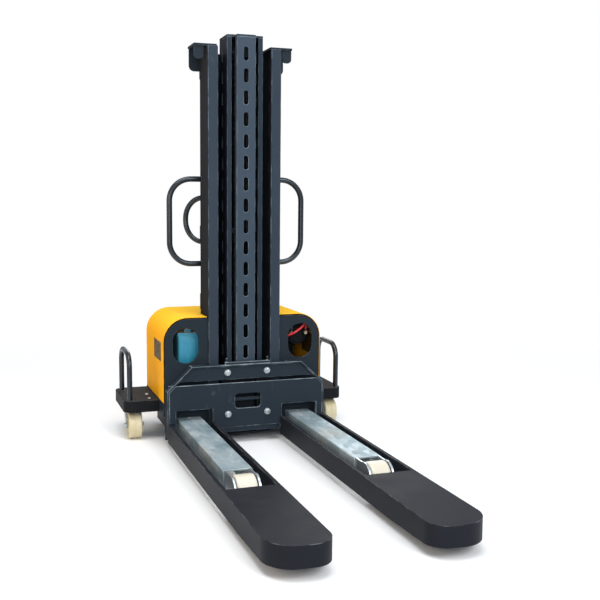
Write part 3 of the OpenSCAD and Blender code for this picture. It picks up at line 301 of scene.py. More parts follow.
def powder_coat(name, slot, colour, wear_and_highlight, wear, rough=0.42, grit=0.0, tint=(0.8, 0.93, 1.0, 1),
                rim=0.0, shine=0.04, shade_height=0.0, side_shade=None, shade_depth=0.0):
    """Baked paint: fine orange peel, a slow drift of tone, dust on level faces, rubbed edges, and
    long faint scuffs. grit adds a coarse grain where faces look up, rim is a painted highlight that
    lightens edges that don't look down, and shine and tint are its gloss. thin is painted shade: its
    colour on faces that look sideways. Painted shade blackens it below the height foul, and on the rollers'
    path at depth track."""
    coat = Finish(name, slot)
    drift = coat.noise(2.2).between(0.3, 0.7)
    scuff = coat.noise(38, (1, 0.12, 0.5), 6).between(0.62, 0.74) * coat.noise(5).between(0.45, 0.7)
    # Rubbed edges are wear where the noise lets it through; rim adds a painted highlight on every edge strip
    # that doesn't look down, lighter the more it looks up.
    rubbed_and_highlit = coat.mark("edge") * (coat.noise(26).between(0.42, 0.68) * wear * 0.8
                                  + coat.mark("up").between(-0.4, 0.7) * rim)
    dust = coat.mark("up").between(0.75, 0.98) * coat.noise(9, detail=5).between(0.35, 0.75)
    body = coat.mix(drift, colour, tuple(c * 1.14 for c in colour[:3]) + (1,))
    # Faces that look sideways take the colour thin, which is painted shade.
    if side_shade:
        body = coat.mix(coat.mark("side").between(0.6, 0.95), body, side_shade)
    body = coat.mix(dust * 0.1, body, wear_and_highlight)
    body = coat.mix((rubbed_and_highlit + scuff * 0.08 * wear).math("MINIMUM", 1.0), body, wear_and_highlight)
    # Painted shade: near black below the height foul, and in a narrow band at the depth track.
    if shade_height:
        body = coat.mix((1 - coat.along(2).between(shade_height, shade_height + 0.05)) * 0.85, body, painted_shade_black)
    if shade_depth:
        off = (coat.along(1) - shade_depth).math("ABSOLUTE")
        body = coat.mix((1 - off.between(0.001, 0.003)) * 0.75, body, painted_shade_black)
    grain = coat.noise(620, detail=1.0)
    relief, deep = grain * 0.35 + coat.noise(150, detail=1.0) * 0.65, 0.00012
    gloss = scuff * 0.12 + drift * 0.06 + dust * 0.16 + rough
    if grit:
        level = coat.mark("up").between(0.8, 0.95)
        stones = coat.cells(330).between(0.15, 0.6) * level
        body = coat.mix(stones * grit, body, wear_and_highlight)
        relief, deep = relief * 0.15 + (1 - stones) * level, 0.0006
        gloss = gloss + level * 0.25
    return coat.lay(body, gloss, 0.0, relief, deep, Specular_IOR_Level=shine, Specular_Tint=tint)


black_coat = powder_coat("black_powder_coat", "black_paint", rgb(37, 44, 51), rgb(100, 106, 112), 0.7)
eased("chassis_frame", black_coat)

# The bulkhead: one laser-cut plate with rounded shoulders in front of the hood, with a window on
# each side of the mast; it is welded to the chassis and coated with it.
eased("front_bulkhead", black_coat, 1.2)

# The outer mast: two hot-rolled channels with thick flanges, welded to the bulkhead, joined at the
# back by three flat cross ties and by a plain guard sheet; an ear stands at the top of each.
# Painted shade: the outer channels go near black in a band at the depth of the roller track, and their sideways
# faces are painted darker.
roller_track = wall + 0.15
mast_coat = powder_coat("mast_powder_coat", "column_paint", rgb(50, 59, 69), rgb(120, 132, 142), 0.8, 0.38,
                        rim=0.2, shine=0.0, side_shade=rgb(48, 49, 52), shade_depth=roller_track)
eased_pair("outer_mast_channel_", mast_coat, 1.8)
shaded_coat = powder_coat("shaded_coat", "black_paint", rgb(23, 27, 32), rgb(90, 96, 102), 0.7)
eased("mast_cross_ties", black_coat)
eased("mast_top_brackets", black_coat)
eased("mast_rear_guard", shaded_coat, 0.5, 1)


def unit(vectors):
    return vectors / np.linalg.norm(vectors, axis=-1, keepdims=True)


def across(tangents):
    """Two directions square to each unit vector: the axis it is least along, made square to it, and
    the cross of the two."""
    least = np.eye(3)[np.argmin(np.abs(tangents), -1)]
    first = unit(least - (least * tangents).sum(-1, keepdims=True) * tangents)
    return first, np.cross(tangents, first)


def circle(sides):
    """Points on a circle of radius 1: cosine and sine of equal steps."""
    angle = np.arange(sides) * 2 * pi / sides
    return np.stack([np.cos(angle), np.sin(angle)], -1)


def skin(grid, looped=False, ends=True):
    """A grid of points (rows, columns, 3), or many of them, as points, four-sided faces between
    its closed rows, and the two end faces. looped joins the last row to the first."""
    rows, columns = grid.shape[-3:-1]
    i, j = np.arange(rows if looped else rows - 1)[:, None], np.arange(columns)
    corner = lambda a, b: (a % rows) * columns + b % columns
    quads = np.stack([corner(i, j), corner(i, j + 1), corner(i + 1, j + 1), corner(i + 1, j)], -1)
    copies = np.arange(grid.size // (3 * rows * columns)) * rows * columns
    quads = (quads.reshape(1, -1, 4) + copies[:, None, None]).reshape(-1, 4)
    caps = np.stack([np.arange(columns)[::-1], np.arange(columns) + (rows - 1) * columns])
    caps = (caps[None] + copies[:, None, None]).reshape(-1, columns)
    return grid.reshape(-1, 3), quads, caps if ends and not looped else caps[:0]


def joined(name, skins, finish, node=None, body=None, crease=38):
    """Several skins as one piece: points that meet are merged and every face is turned outwards."""
    mesh = bpy.data.meshes.new(name)
    starts = np.cumsum([0] + [len(points) for points, _, _ in skins[:-1]])
    faces = []
    for start, (_, quads, caps) in zip(starts, skins):
        faces += (quads + start).tolist() + (caps + start).tolist()
    mesh.from_pydata(np.concatenate([points for points, _, _ in skins]), [], faces)
    bm = bmesh.new()
    bm.from_mesh(mesh)
    bmesh.ops.remove_doubles(bm, verts=bm.verts, dist=2e-6)
    bmesh.ops.recalc_face_normals(bm, faces=bm.faces)
    bm.to_mesh(mesh)
    bm.free()
    return shown_piece(mesh, finish, crease, node, body)


def both(skins):
    """The skins and their mirror images across the machine's middle."""
    return skins + [(points * (-1, 1, 1), quads, caps) for points, quads, caps in skins]


def pipe(path, radius, sides=24, looped=False):
    """A tube along a path of points in mm, of one radius or of one for each point. At each point
    its ring lies square to the path; the running sum of the angles by which the chosen directions
    jump is taken back, so it doesn't twist."""
    path = np.asarray(path, float)
    tangent = unit(np.roll(path, -1, 0) - np.roll(path, 1, 0) if looped else np.gradient(path, axis=0))
    first, second = across(tangent)
    moved = first[:-1] - (first[:-1] * tangent[1:]).sum(1, keepdims=True) * tangent[1:]
    jump = np.arctan2((moved * second[1:]).sum(1), (moved * first[1:]).sum(1))
    turn = np.concatenate([[0], np.cumsum(jump)])[:, None]
    u = np.cos(turn) * first + np.sin(turn) * second
    ring = circle(sides) @ np.stack([u, np.cross(tangent, u)], 1)
    return skin(at(path[:, None] + np.reshape(radius, (-1, 1, 1)) * ring), looped)


def travelled(line):
    """The distance along a line at each of its points."""
    return np.concatenate([[0], np.cumsum(np.linalg.norm(np.diff(line, axis=0), axis=1))])


def sampled(line, way, places):
    """The points of a line at places along it, where its own points lie at way."""
    return np.stack([np.interp(places, way, part) for part in line.T], -1)


def bead(line, size, looped=False):
    """A weld bead along a line of points in mm: a tube whose radius ripples as a sine of the
    distance along it, and swells in from nothing at open ends."""
    line = np.asarray(line, float)
    if looped:
        line = np.concatenate([line, line[:1]])
    along = travelled(line)
    step, ripple = size * 0.42, size * 1.9
    s = np.linspace(0, along[-1], max(int(along[-1] / step), 6), endpoint=not looped)
    radius = size * (0.9 + 0.1 * np.sin(s * 2 * pi / ripple))
    if not looped:
        radius = radius * np.sqrt(np.clip(np.minimum(s, along[-1] - s) / size + 0.02, 0, 1))
    return pipe(sampled(line, along, s), radius, 8, looped)


mast_back, tie_edges = 166.5, (480, 540, 735, 795, 1330, 1390)
tie_seams = [bead([(101, mast_back, z), (135.5, mast_back, z)], 2.6) for z in tie_edges]
joined("mast_tie_welds", both(tie_seams), black_coat)


def turned(profile, centre, axis, sides=48, hollow=False):
    """A profile of (radius, distance along the axis) in mm turned about an axis through a point in mm."""
    profile = np.asarray(profile, float)
    ring = circle(sides) @ across(axis)
    return skin(at(centre + profile[:, None, 1:] * axis + profile[:, None, :1] * ring), hollow, False)


def bent(points, reach, steps=5, closed=False):
    """A line of points with round corners: each arc runs from where it leaves one leg to where it
    meets the next, as the quadratic curve with the corner in the middle, weighted by the cosine
    of half the turn, which is a true arc of radius reach."""
    p = np.asarray(points, float)
    before, corner, after = (np.roll(p, 1, 0), p, np.roll(p, -1, 0)) if closed else (p[:-2], p[1:-1], p[2:])
    u, w = unit(before - corner), unit(after - corner)
    turn = np.arccos(np.clip(-(u * w).sum(-1), -1, 1))[:, None, None]
    cut = np.broadcast_to(reach, len(corner))[:, None, None] * np.tan(turn / 2)
    start, end, middle = corner[:, None] + u[:, None] * cut, corner[:, None] + w[:, None] * cut, corner[:, None]
    t, k = np.linspace(0, 1, steps + 1)[None, :, None], np.cos(turn / 2)
    of_start, of_middle, of_end = (1 - t) ** 2, 2 * k * t * (1 - t), t ** 2
    arc = (of_start * start + of_middle * middle + of_end * end) / (of_start + of_middle + of_end)
    arc = arc.reshape(-1, p.shape[1])
    return arc if closed else np.concatenate([p[:1], arc, p[-1:]])


def plated(name, slot, colour, stain, rough=0.3, metal=0.92):
    """Plated or bare steel: a metal with cloudy tone and fine brushing."""
    steel = Finish(name, slot)
    cloud = steel.noise(14, detail=5).between(0.3, 0.75)
    brush = steel.noise(420, (0.2, 1, 1), 2.0)
    body = steel.mix(cloud * 0.55, colour, stain)
    gloss = brush * 0.16 + cloud * 0.12 + (rough - 0.1)
    return steel.lay(body, gloss, metal, brush, 0.00003)


zinc = plated("bright_zinc", "zinc", rgb(196, 206, 212), rgb(150, 158, 163), metal=0.8)
stud = [(0, 2.4), (1.6, 2.4), (1.6, 3.4), (2.4, 3.6), (4.2, 2.6), (5.2, 1.2), (5.2, 0), (0, 0)]
guard_back = drawn("mast_rear_guard")[1][1]
guard_screws = [turned(stud, (94, guard_back, z), Y, 24) for z in (510, 765, 1120, 1360)]
joined("guard_screws", both(guard_screws), zinc)

# The inner mast: two lighter channels that run inside the outer ones on rollers, their webs
# pierced by a row of slots, a folded front column with its own slots, and a head plate over all.
# Below this height the inner mast and its column are painted near black: painted shade behind the carriage. The
# inner channels' sideways faces are painted darker too, also painted shade.
shaded_foot = 0.23
inner_coat = powder_coat("inner_mast_coat", "column_paint", rgb(40, 48, 58), rgb(104, 118, 130), 0.8, 0.4,
                         rim=0.4, shade_height=shaded_foot, side_shade=rgb(28, 32, 38))
column_coat = powder_coat("column_powder_coat", "column_paint", rgb(56, 67, 79), rgb(138, 152, 164), 0.8, 0.36,
                          rim=0.6, shade_height=shaded_foot)
eased_pair("inner_mast_channel_", inner_coat, 1.2)
eased("mast_front_column", column_coat, 1.1)
eased("inner_mast_head", mast_coat, 1.2)

# The lift cylinder: a painted tube with a screwed gland and an oil port at its foot, and a hard
# chrome rod that pushes the inner mast up.
(_, _, tube_low), (_, _, tube_high) = drawn("lift_cylinder_tube")
(_, rod_front, rod_low), (_, rod_rear, rod_high) = drawn("lift_cylinder_rod")
cyl_y = (rod_front + rod_rear) / 2
port_z = tube_low + 28
foot = [(0, 0), (22, 0), (22, 14), (21.2, 15)]
gland = [(21.2, -15), (23, -13), (23, -8), (22.2, -7.4), (22.2, -6.6), (23, -6), (23, 0), (17, 0), (15.2, -1.6),
         (14.4, -1.6), (14.4, -9), (0, -9)]
tube_profile = bent([(r, tube_low + a) for r, a in foot] + [(r, tube_high + a) for r, a in gland], 0.4, 2)
port_profile = [(0, 12), (11, 12), (11, 24), (9, 26), (9, 48), (8.4, 48.6), (8.4, 50), (9, 50.6), (9, 66.5),
                (8, 67.9), (0, 67.9)]
joined("lift_cylinder", [turned(tube_profile, (0, cyl_y, 0), Z),
                         turned(port_profile, (0, cyl_y + 22, port_z), Y, 32)], black_coat,
       "lift_cylinder_tube")
chrome = Finish("hard_chrome", "chrome_rod")
chrome.lay(chrome.mix(chrome.noise(30).between(0.35, 0.7), rgb(226, 230, 234), rgb(205, 210, 216)),
           chrome.noise(700, (1, 1, 0.03)) * 0.08 + 0.06, 1.0)
rod = [(0, rod_low), (14, rod_low), (14, rod_high), (0, rod_high)]
joined("lift_rod", [turned(rod, (0, cyl_y, 0), Z, 64)], chrome, "lift_cylinder_rod")

# The lift chains: leaf chain, each link two or three stamped plates side by side on riveted pins.
# A chain runs from the shelf at the cylinder's foot over a sheave and down to the carriage.
sheave_z, chain_x = 1425.0, 30.0       # the sheaves' axle, and the middle of each chain
pin_r = 30.0                           # of the circle on which the pins go round the axle
half_plate = 0.78                      # half a plate's thickness


def leaf_chain(pins):
    """Plates and pins of a chain along its pin centres in mm. A plate's outline is a figure of
    eight: its points lie at way, in shares of a link from the first pin, and tall mm from the line
    of the pins. Three plates side by side take turns with two."""
    step = np.diff(pins, axis=0)[:, None]
    way = np.array([-0.3, -0.2, 0.08, 0.5, 0.92, 1.2, 1.3, 1.2, 0.92, 0.5, 0.08, -0.2])[:, None]
    tall = np.array([0, 2.8, 4, 2.9, 4, 2.8, 0, -2.8, -4, -2.9, -4, -2.8])[:, None]
    outline = pins[:-1, None] + way * step + tall * np.cross(X, unit(step))
    skins = []
    for lot, offsets in ((slice(0, None, 2), (-3.6, 0, 3.6)), (slice(1, None, 2), (-1.8, 1.8))):
        for offset in offsets:
            plate = (offset + np.array([-half_plate, half_plate]))[:, None, None] * X
            skins.append(skin(at(outline[lot][:, None] + plate)))
    rows = np.array([(0.0, -4.5), (1.7, -4.5), (2.0, -4.2), (2.0, 4.2), (1.7, 4.5), (0.0, 4.5)])[:, None]
    rivet = rows[..., :1] * (circle(8) @ (Y, Z)) + rows[..., 1:] * X
    return skins + [skin(at(pins[:, None, None] + rivet), ends=False)]


def chain_run(node, y, links):
    """The straight run of a drawn chain, from its foot up to the sheave, and the foot's height."""
    low = drawn(node)[0][2]
    pins = np.linspace((chain_x, y, low + 4), (chain_x, y, sheave_z - 4), links + 1)
    return joined(node + "_run", both(leaf_chain(pins)), oiled, node, body=""), low


oiled = Finish("oiled_chain_steel", "chain_steel")
smear = oiled.noise(90, detail=5).between(0.35, 0.7)
oiled.lay(oiled.mix(smear, rgb(70, 70, 70), rgb(32, 31, 29)),
          smear * -0.2 + 0.5, 0.85, oiled.noise(500), 0.00005)
front_chain, front_low = chain_run("lift_chain_front", cyl_y - pin_r, 90)
rear_chain, rear_low = chain_run("lift_chain_rear", cyl_y + pin_r, 52)
wrap = np.linspace(pi, 0, 9)
over = (chain_x, cyl_y, sheave_z) + pin_r * np.c_[0 * wrap, np.cos(wrap), np.sin(wrap)]
joined("lift_chain_over_top", both(leaf_chain(over)), oiled, "lift_chain_over_sheaves")
front_low * 0.001
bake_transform(front_chain)
rear_low * 0.001
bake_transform(rear_chain)

# The sheaves and rollers: turned steel rings on bearings. Chain sheaves turn on the pin through
# the inner mast's crosshead, mast rollers and carriage rollers on stubs, inside the channels.
turned_steel = plated("turned_roller_steel", "roller_steel", rgb(150, 152, 154), rgb(86, 82, 76), 0.34)
sheave = [(8.05, 4), (13, 4), (14, 2.4), (20, 2.4), (21.5, 4), (25.4, 4), (26, 3.4)]
sheave = [(r, -a) for r, a in sheave] + sheave[::-1]
joined("chain_sheave_rings", both([turned(sheave, (chain_x, cyl_y, sheave_z), X, 64, True)]), turned_steel,
       "chain_sheaves")
for node, half in (("mast_rollers", 11), ("carriage_rollers_upper", 8), ("carriage_rollers_lower", 8)):
    low, high = drawn(node)
    _, y, z = (low + high) / 2
    radius = (high[2] - low[2]) / 2
    bore, hub, seal, lip = 11.05, 15.05, radius * 0.62, radius * 0.86
    face = [(bore, half), (hub, half), (hub + 0.8, half - 1.2), (seal, half - 1.2), (seal + 0.8, half - 0.4),
            (lip, half - 0.4), (lip + 0.6, half), (radius - 1.6, half), (radius, half - 1.6)]
    ring = turned(face + [(r, -a) for r, a in face[::-1]], (high[0] - half, y, z), X, 72, True)
    joined(node + "_turned", both([ring]), turned_steel, node)

# The fork carriage: a welded tray with deep side rims, sloping shoulders and a top rim, with the
# upper panel set back in it; arms behind it carry the rollers. A bolted front plate closes it.
# Its edge strips that look up are painted lighter: a painted highlight.
carriage_coat = powder_coat("carriage_powder_coat", "black_paint", rgb(39, 47, 55), rgb(142, 154, 162), 0.8,
                            rim=0.5)
eased("carriage_frame", carriage_coat, 1.4)
eased("carriage_front_plate", carriage_coat, 2.0)
# The roller arms behind the carriage plate take a near-black coat: painted shade.
painted_shade_coat = powder_coat("painted_shade_coat", "black_paint", rgb(13, 15, 17), rgb(60, 62, 64), 0.5)
eased("carriage_roller_arms", painted_shade_coat, 1.0)
rim_seam = [(-293, 8.6, 203), (-206, 8.6, 286), (206, 8.6, 286), (293, 8.6, 203)]
foot_seams = [bead([(270.5, -0.6, 91), (293, -0.6, 91)], 2.4)]
side_seams = [bead([(293.6, 10, z), (293.6, 10, z + 40)], 2.4) for z in (60, 160)]
joined("carriage_welds", [bead(rim_seam, 2.2)] + both(foot_seams + side_seams), black_coat, body="carriage")


def hexagon(centre, axis, flats, height, washer=0.0, rim=12.0):
    """A hexagon head in mm on a washer: the radius is half the flats over the cosine of the angle
    from the nearest flat, and the rim falls by the tangent of 30 degrees times what a corner
    stands past the flats."""
    angle = np.arange(36) * pi / 18
    out = flats / 2 / np.cos((angle + pi / 6) % (pi / 3) - pi / 6)
    drop = (out - flats / 2) * tan(radians(30))
    radius = np.stack([out * 0, out, out, np.full(36, flats * 0.475), out * 0])
    along = washer + np.stack([out * 0, out * 0, height - 0.5 - drop, np.full(36, height), np.full(36, height)])
    ring = circle(36) @ across(axis)
    head = skin(at(centre + along[..., None] * axis + radius[..., None] * ring), ends=False)
    if not washer:
        return [head]
    disc = [(0, 0), (rim, 0), (rim, washer - 0.4), (rim - 0.4, washer), (0, washer)]
    return [head, turned(disc, centre, axis, 36)]


def hexagons(centres, axis, *sizes):
    """The same hexagon head at each of several centres."""
    return [part for centre in centres for part in hexagon(centre, axis, *sizes)]


joined("carriage_bolt_heads", both(hexagons([(75.4, 0, 111.6), (75.4, 8, 264.6)], -Y, 18, 7, 2.5)), zinc,
       "carriage_bolts")

# The fork arms: wide inverted boxes folded from 6 mm sheet, with round tips and a long slot over
# the leg; their powder coat is greyer and scuffed from sliding under pallets.
fork_coat = powder_coat("fork_powder_coat", "black_paint", rgb(30, 32, 38), rgb(104, 107, 112), 0.9, 0.46,
                        shine=0.07, tint=(0.93, 0.96, 1.0, 1))
eased_pair("fork_", fork_coat, 1.4)

# The straddle legs: folded, hot-dip galvanised channels that slide in tunnels of the chassis. A pair
# of cheeks is welded into each end, and a bolt through them carries the nylon load roller.
galvanised = Finish("hot_dip_galvanised", "galvanised")
spangle = galvanised.node("ShaderNodeSeparateColor", {}, {0: galvanised.cells(52, (1, 0.55, 1), "Color")})
cloud = galvanised.noise(11, (1, 0.5, 1), 6).between(0.34, 0.66)
rust = galvanised.noise(7, (1.4, 0.6, 1), 5).between(0.56, 0.72)
drag = galvanised.noise(60, (1, 0.02, 1), 4).between(0.55, 0.75)
tone = galvanised.mix(cloud, rgb(140, 163, 172), rgb(190, 202, 206))
tone = galvanised.mix(spangle * 0.45, tone, rgb(98, 118, 128))
tone = galvanised.mix(rust * 0.45, tone, rgb(146, 140, 126))
# Edge strips are painted lighter, a painted highlight; the long drag streaks mixed in with them are wear.
tone = galvanised.mix(galvanised.mark("edge") * 0.6 + drag * 0.18, tone, rgb(222, 228, 230))
galvanised.lay(tone, spangle * 0.16 + cloud * 0.14 + rust * 0.15 + 0.32, 0.3, spangle * 0.6 + drag * 0.4,
               0.00005, Specular_IOR_Level=0.2)


def leg_fold(x, y, z, e):
    """The two long folds along the top of a leg."""
    return z > 0.0965 and e.calc_length() > 0.5


axle_z, axle_in = 50.0, 46             # its height, and how far it lies behind the cheeks' front
for side in hands:
    leg, cheeks = "straddle_leg_" + side, "leg_roller_cheeks_" + side
    eased(leg, galvanised, 0.8, bend=4.5, bent_where=leg_fold)
    eased(cheeks, zinc, 0.8)
    low, high = drawn(cheeks)
    axle = np.array([(low[0] + high[0]) / 2, low[1] + axle_in, axle_z])
    half = np.array([(high[0] - low[0]) / 2, 0, 0])
    nut = (19, 6.5, 1.6, 12.5)
    ends = hexagon(axle + half, X, *nut) + hexagon(axle - half, -X, *nut)
    joined("roller_axle_ends_" + side, ends, zinc, body=home[leg])

# The load rollers: cast nylon with a crowned tread, sunk sides and a steel bush, gone slightly
# yellow, with grey road dirt in the tread.


def cast_nylon(name, fresh, aged):
    nylon = Finish(name, "cream_nylon")
    age = nylon.noise(7, detail=4).between(0.3, 0.7)
    dirt = nylon.noise(42, detail=6).between(0.58, 0.8)
    return nylon.lay(nylon.mix(dirt * 0.25, nylon.mix(age, fresh, aged), rgb(160, 152, 128)),
                     dirt * 0.2 + 0.36, 0.0, nylon.noise(300), 0.00006, Specular_IOR_Level=0.45)


def nylon_wheel(node, face, finish, reach, steps, groove=()):
    """A node turned in nylon. face gives its profile from the bore to the tread, each radius with
    what it stands back from the wheel's side; a groove in the tread goes on, measured from the
    middle, and the other half is the same. Returns the axle's middle and half the width."""
    low, high = drawn(node)
    middle, half = (*((low + high) / 2)[:2], axle_z), (high[0] - low[0]) / 2
    profile = [(r, half - back) for r, back in face] + list(groove)
    profile = bent(profile + [(r, -a) for r, a in profile[::-1]], reach, steps, True)
    joined(node + "_nylon", [turned(profile, middle, X, 72, True)], finish, node, crease=30)
    return middle, half


nylon = cast_nylon("roller_nylon", rgb(222, 218, 206), rgb(212, 205, 186))
roller_face = [(12, 3), (17, 3), (19, 1.6), (38, 1.6), (40, 0), (45, 0), (48.6, 2.4), (50, 8)]
for side in hands:
    node = "load_roller_" + side
    middle, half = nylon_wheel(node, roller_face, nylon, 0.8, 3)
    bush = [(8.05, half), (11.2, half), (12, half - 0.8), (12, 0.8 - half), (11.2, -half), (8.05, -half)]
    joined(node + "_bush", [turned(bush, middle, X, 36, True)], turned_steel, body=home[node])

# The lock pins: zinc-plated pins with a fluted knob that drop through a guide block at the rear of
# the chassis into a hole in the leg. The flutes are a cosine of twelve times the angle.
flutes, flute_depth = 12, 0.06
for side in hands:
    node = "leg_lock_pin_" + side
    low, high = drawn(node)
    middle = (low + high) / 2 * (1, 1, 0)
    shank = [(0, low[2]), (4.6, low[2]), (6, low[2] + 2), (6, 151), (0, 151)]
    knob = bent([(6, 150), (8.8, 150.6), (9, 158), (9, 164), (6, 166), (0.01, 166)], 1.2, 3)
    radius, height = knob[:, :1], knob[:, 1:]
    turn = np.arange(48) * 2 * pi / 48
    flute = 1 - flute_depth * np.cos(flutes * turn) * ((height > 151) & (height < 165.4))
    grid = (radius * flute)[..., None] * np.c_[circle(48), np.zeros(48)] + height[..., None] * Z + middle
    joined(node + "_turned", [turned(shank, middle, Z, 32), skin(at(grid))], zinc, node)

# The battery: a teal plastic case with a grey lid, two terminals and three vent caps, on the deck
# behind the left window. Its ribs stand where a sine of the way round it is more than -0.55.
teal = Finish("teal_case_plastic", "teal_plastic")
cast = teal.noise(6, detail=4).between(0.3, 0.7)
teal.lay(teal.mix(cast, rgb(38, 134, 163), rgb(62, 152, 182)), cast * 0.1 + 0.3, 0.0, teal.noise(240), 0.00004,
         Coat_Weight=0.15, Coat_Roughness=0.2)
(x0, y0, z0), (x1, y1, z1) = drawn("battery_case")
outline = bent([(x0, y0, 0), (x1, y0, 0), (x1, y1, 0), (x0, y1, 0)], 9, 8, True)
lap = np.concatenate([outline, outline[:1]])
s = np.linspace(0, travelled(lap)[-1], 440, endpoint=False)
loop = sampled(lap, travelled(lap), s)
level = np.concatenate([z0 + [0, 3, 16, 20], z1 - [26, 22, 2, 0]])[:, None, None]
groove = np.array([2.5, 0.4, 0.4, 1, 1, 0.4, 0.4, 1.2])[:, None]
rib_pitch = 26
ribs = np.array([0, 0, 0, 0.7, 0.7, 0, 0, 0])[:, None] * (np.sin(s * 2 * pi / rib_pitch) > -0.55)
grid = loop + unit(loop.mean(0) - loop) * (groove + ribs)[..., None] + level * Z
joined("battery_case_moulding", [skin(at(grid))], teal, "battery_case")
grey_plastic = Finish("grey_lid_plastic", "grey_plastic")
cast = grey_plastic.noise(12).between(0.3, 0.7)
lid_tone = grey_plastic.mix(grey_plastic.mark("up").between(0.2, 0.8), rgb(48, 140, 168),
                            grey_plastic.mix(cast, rgb(176, 180, 178), rgb(196, 198, 195)))
grey_plastic.lay(lid_tone, cast * 0.1 + 0.34, 0.0, grey_plastic.noise(500), 0.00005)
eased("battery_lid", grey_plastic, 2.0, 3)
lid_top = z1 + 14
vent_cap = [(0, 0), (11, 0), (11, 3), (9.6, 4.6), (0, 4.6)]
vent_caps = [turned(vent_cap, (x1 - 26, y0 + y, lid_top), Z, 32) for y in (62, 120, 178)]
joined("battery_vent_caps", vent_caps, grey_plastic)

# The power cables: soft red and black insulated copper with pressed ring terminals, bolted to the
# battery, the contactor and the motor; both ends are fixed, so none of them is a free cord.


def spine(points):
    """A smooth line through points, ten steps from each to the next: between two of them the cubic
    of Catmull and Rom, from the point before to the point after."""
    p = np.asarray(points, float)
    before, after = np.concatenate([p[:1], p[:-2]]), np.concatenate([p[2:], p[-1:]])
    a, b, c, d = (x[:, None] for x in (before, p[:-1], p[1:], after))
    t = (np.arange(10) / 10)[None, :, None]
    curve = 0.5 * (2 * b + (c - a) * t + (2 * a - 5 * b + 4 * c - d) * t ** 2
                   + (3 * b - a - 3 * c + d) * t ** 3)
    return np.concatenate([curve.reshape(-1, 3), p[-1:]])


def cable(points, radius):
    """A tube along the spine, thinner by a fifth over its last 9 mm where it enters its
    terminals, and a sleeve near each end."""
    path = spine(points)
    along = travelled(path)
    near = np.minimum(along, along[-1] - along)
    sleeves = [pipe(path[lot], radius * 1.08, 16) for lot in (slice(2, 9), slice(-9, -2))]
    return pipe(path, radius * np.where(near < 9, 0.8, 1.0), 16), sleeves


post_x, post_front, post_rear, post_z = -204.0, 109.0, 299.0, 418.0         # the battery's terminals
relay_x, relay_front, relay_rear, relay_z = 165.0, 90.0, 110.0, 356.0       # the contactor's
pack_x, pack_z = 226.0, 388.0                                               # the motor's middle
stud_z = pack_z + 4.4
red_long = [[post_x, post_front, post_z + 0.2], [post_x, post_front, 434], [-188, 160, 448], [-130, 236, 448],
            [0, 262, 448], [110, 236, 446], [156, 176, 422], [relay_x, 122, 388], [relay_x, relay_rear, 374],
            [relay_x, relay_rear, relay_z + 0.2]]
red_short = [[relay_x, relay_front, relay_z + 0.2], [relay_x, relay_front, 372], [178, 72, 380], [204, 66, 392],
             [230, 67, 408], [246, 72, 420], [255, 80, 416], [255, 80, 406], [255, 80, stud_z]]
black_long = [[post_x, post_rear, post_z + 0.2], [post_x, post_rear, 434], [-176, 330, 446], [-100, 332, 444],
              [60, 326, 440], [140, 290, 442], [170, 215, 448], [180, 130, 440], [192, 86, 426], [197, 80, 410],
              [197, 80, stud_z]]


def insulation(name, slot, colour, scuffed):
    rubber = Finish(name, slot)
    rub = rubber.noise(70, detail=4).between(0.45, 0.75)
    return rubber.lay(rubber.mix(rub * 0.6, colour, scuffed), rub * 0.2 + 0.36, 0.0, rubber.noise(600), 0.00005)


red_rubber = insulation("red_cable_rubber", "cable_red", rgb(198, 28, 40), rgb(224, 84, 84))
black_rubber = insulation("black_hose_rubber", "hose_rubber", rgb(26, 27, 29), rgb(70, 70, 72))
long_tube, long_ends = cable(red_long, 5)
short_tube, short_ends = cable(red_short, 4.5)
black_tube, black_ends = cable(black_long, 5)
joined("red_battery_cables", [long_tube, short_tube], red_rubber, "battery_cables")
joined("black_battery_cable", [black_tube], black_rubber)
joined("cable_end_sleeves", long_ends + short_ends + black_ends, black_rubber)
lugs = [turned([(0, 0.2), (7.5, 0.2), (7.5, 2.2), (0, 2.2)], where, Z, 28) for where in
        ((post_x, post_front, post_z), (post_x, post_rear, post_z),
         (relay_x, relay_rear, relay_z), (relay_x, relay_front, relay_z))]
copper = plated("tinned_copper", "zinc", rgb(206, 190, 170), rgb(168, 130, 96), 0.35)
joined("cable_lugs", lugs, copper)

# The lift motor and its pump: a painted steel can with end bells and two studs, an aluminium valve
# block with hexagon plugs, and a round oil tank, all on a saddle behind the right window.
gloss_black = powder_coat("motor_enamel", "black_plastic", rgb(22, 23, 25), rgb(92, 92, 92), 0.8, 0.3)
motor_y = 96.0
pack = np.array([pack_x, motor_y, pack_z])
can = bent([(0, -5), (38, -5), (38, 0), (45.4, 0.6), (46, 3), (46, 14), (44.6, 15), (44.6, 104), (46, 105),
            (46, 119), (44, 120), (0, 120)], 1.0, 3)
bolt_end, bolt_circle = [(0, -0.4), (4.2, -0.4), (4.2, -4.6), (0, -4.6)], 33
through_bolts = [turned(bolt_end, pack + (bolt_circle * cos(a), 0, bolt_circle * sin(a)), Y, 20)
                 for a in (radians(60), radians(240))]
joined("lift_motor_can", [turned(can, pack, Y, 72)] + through_bolts, gloss_black, "lift_motor")
motor_stud = [(0, -22), (3.4, -22), (4, -21.2), (4, 0), (0, 0)]
studs = [turned(motor_stud, pack + (x, 0, 0), Y, 24) for x in (-29, 29)]
nuts = hexagons([pack + (x, y, 0) for x in (-29, 29) for y in (-5.2, -15.4)], -Y, 13, 5.0)
joined("motor_studs", studs + nuts, copper)
block = Finish("machined_aluminium", "block_aluminium")
mill = block.noise(160, (1, 0.08, 1), 3)
block.lay(block.mix(block.noise(18).between(0.4, 0.7), rgb(176, 179, 181), rgb(150, 152, 153)),
          mill * 0.2 + 0.28, 0.9, mill, 0.00004)
eased("pump_and_valve_block", block, 1.2)
block_y, filler_y = 140, 238
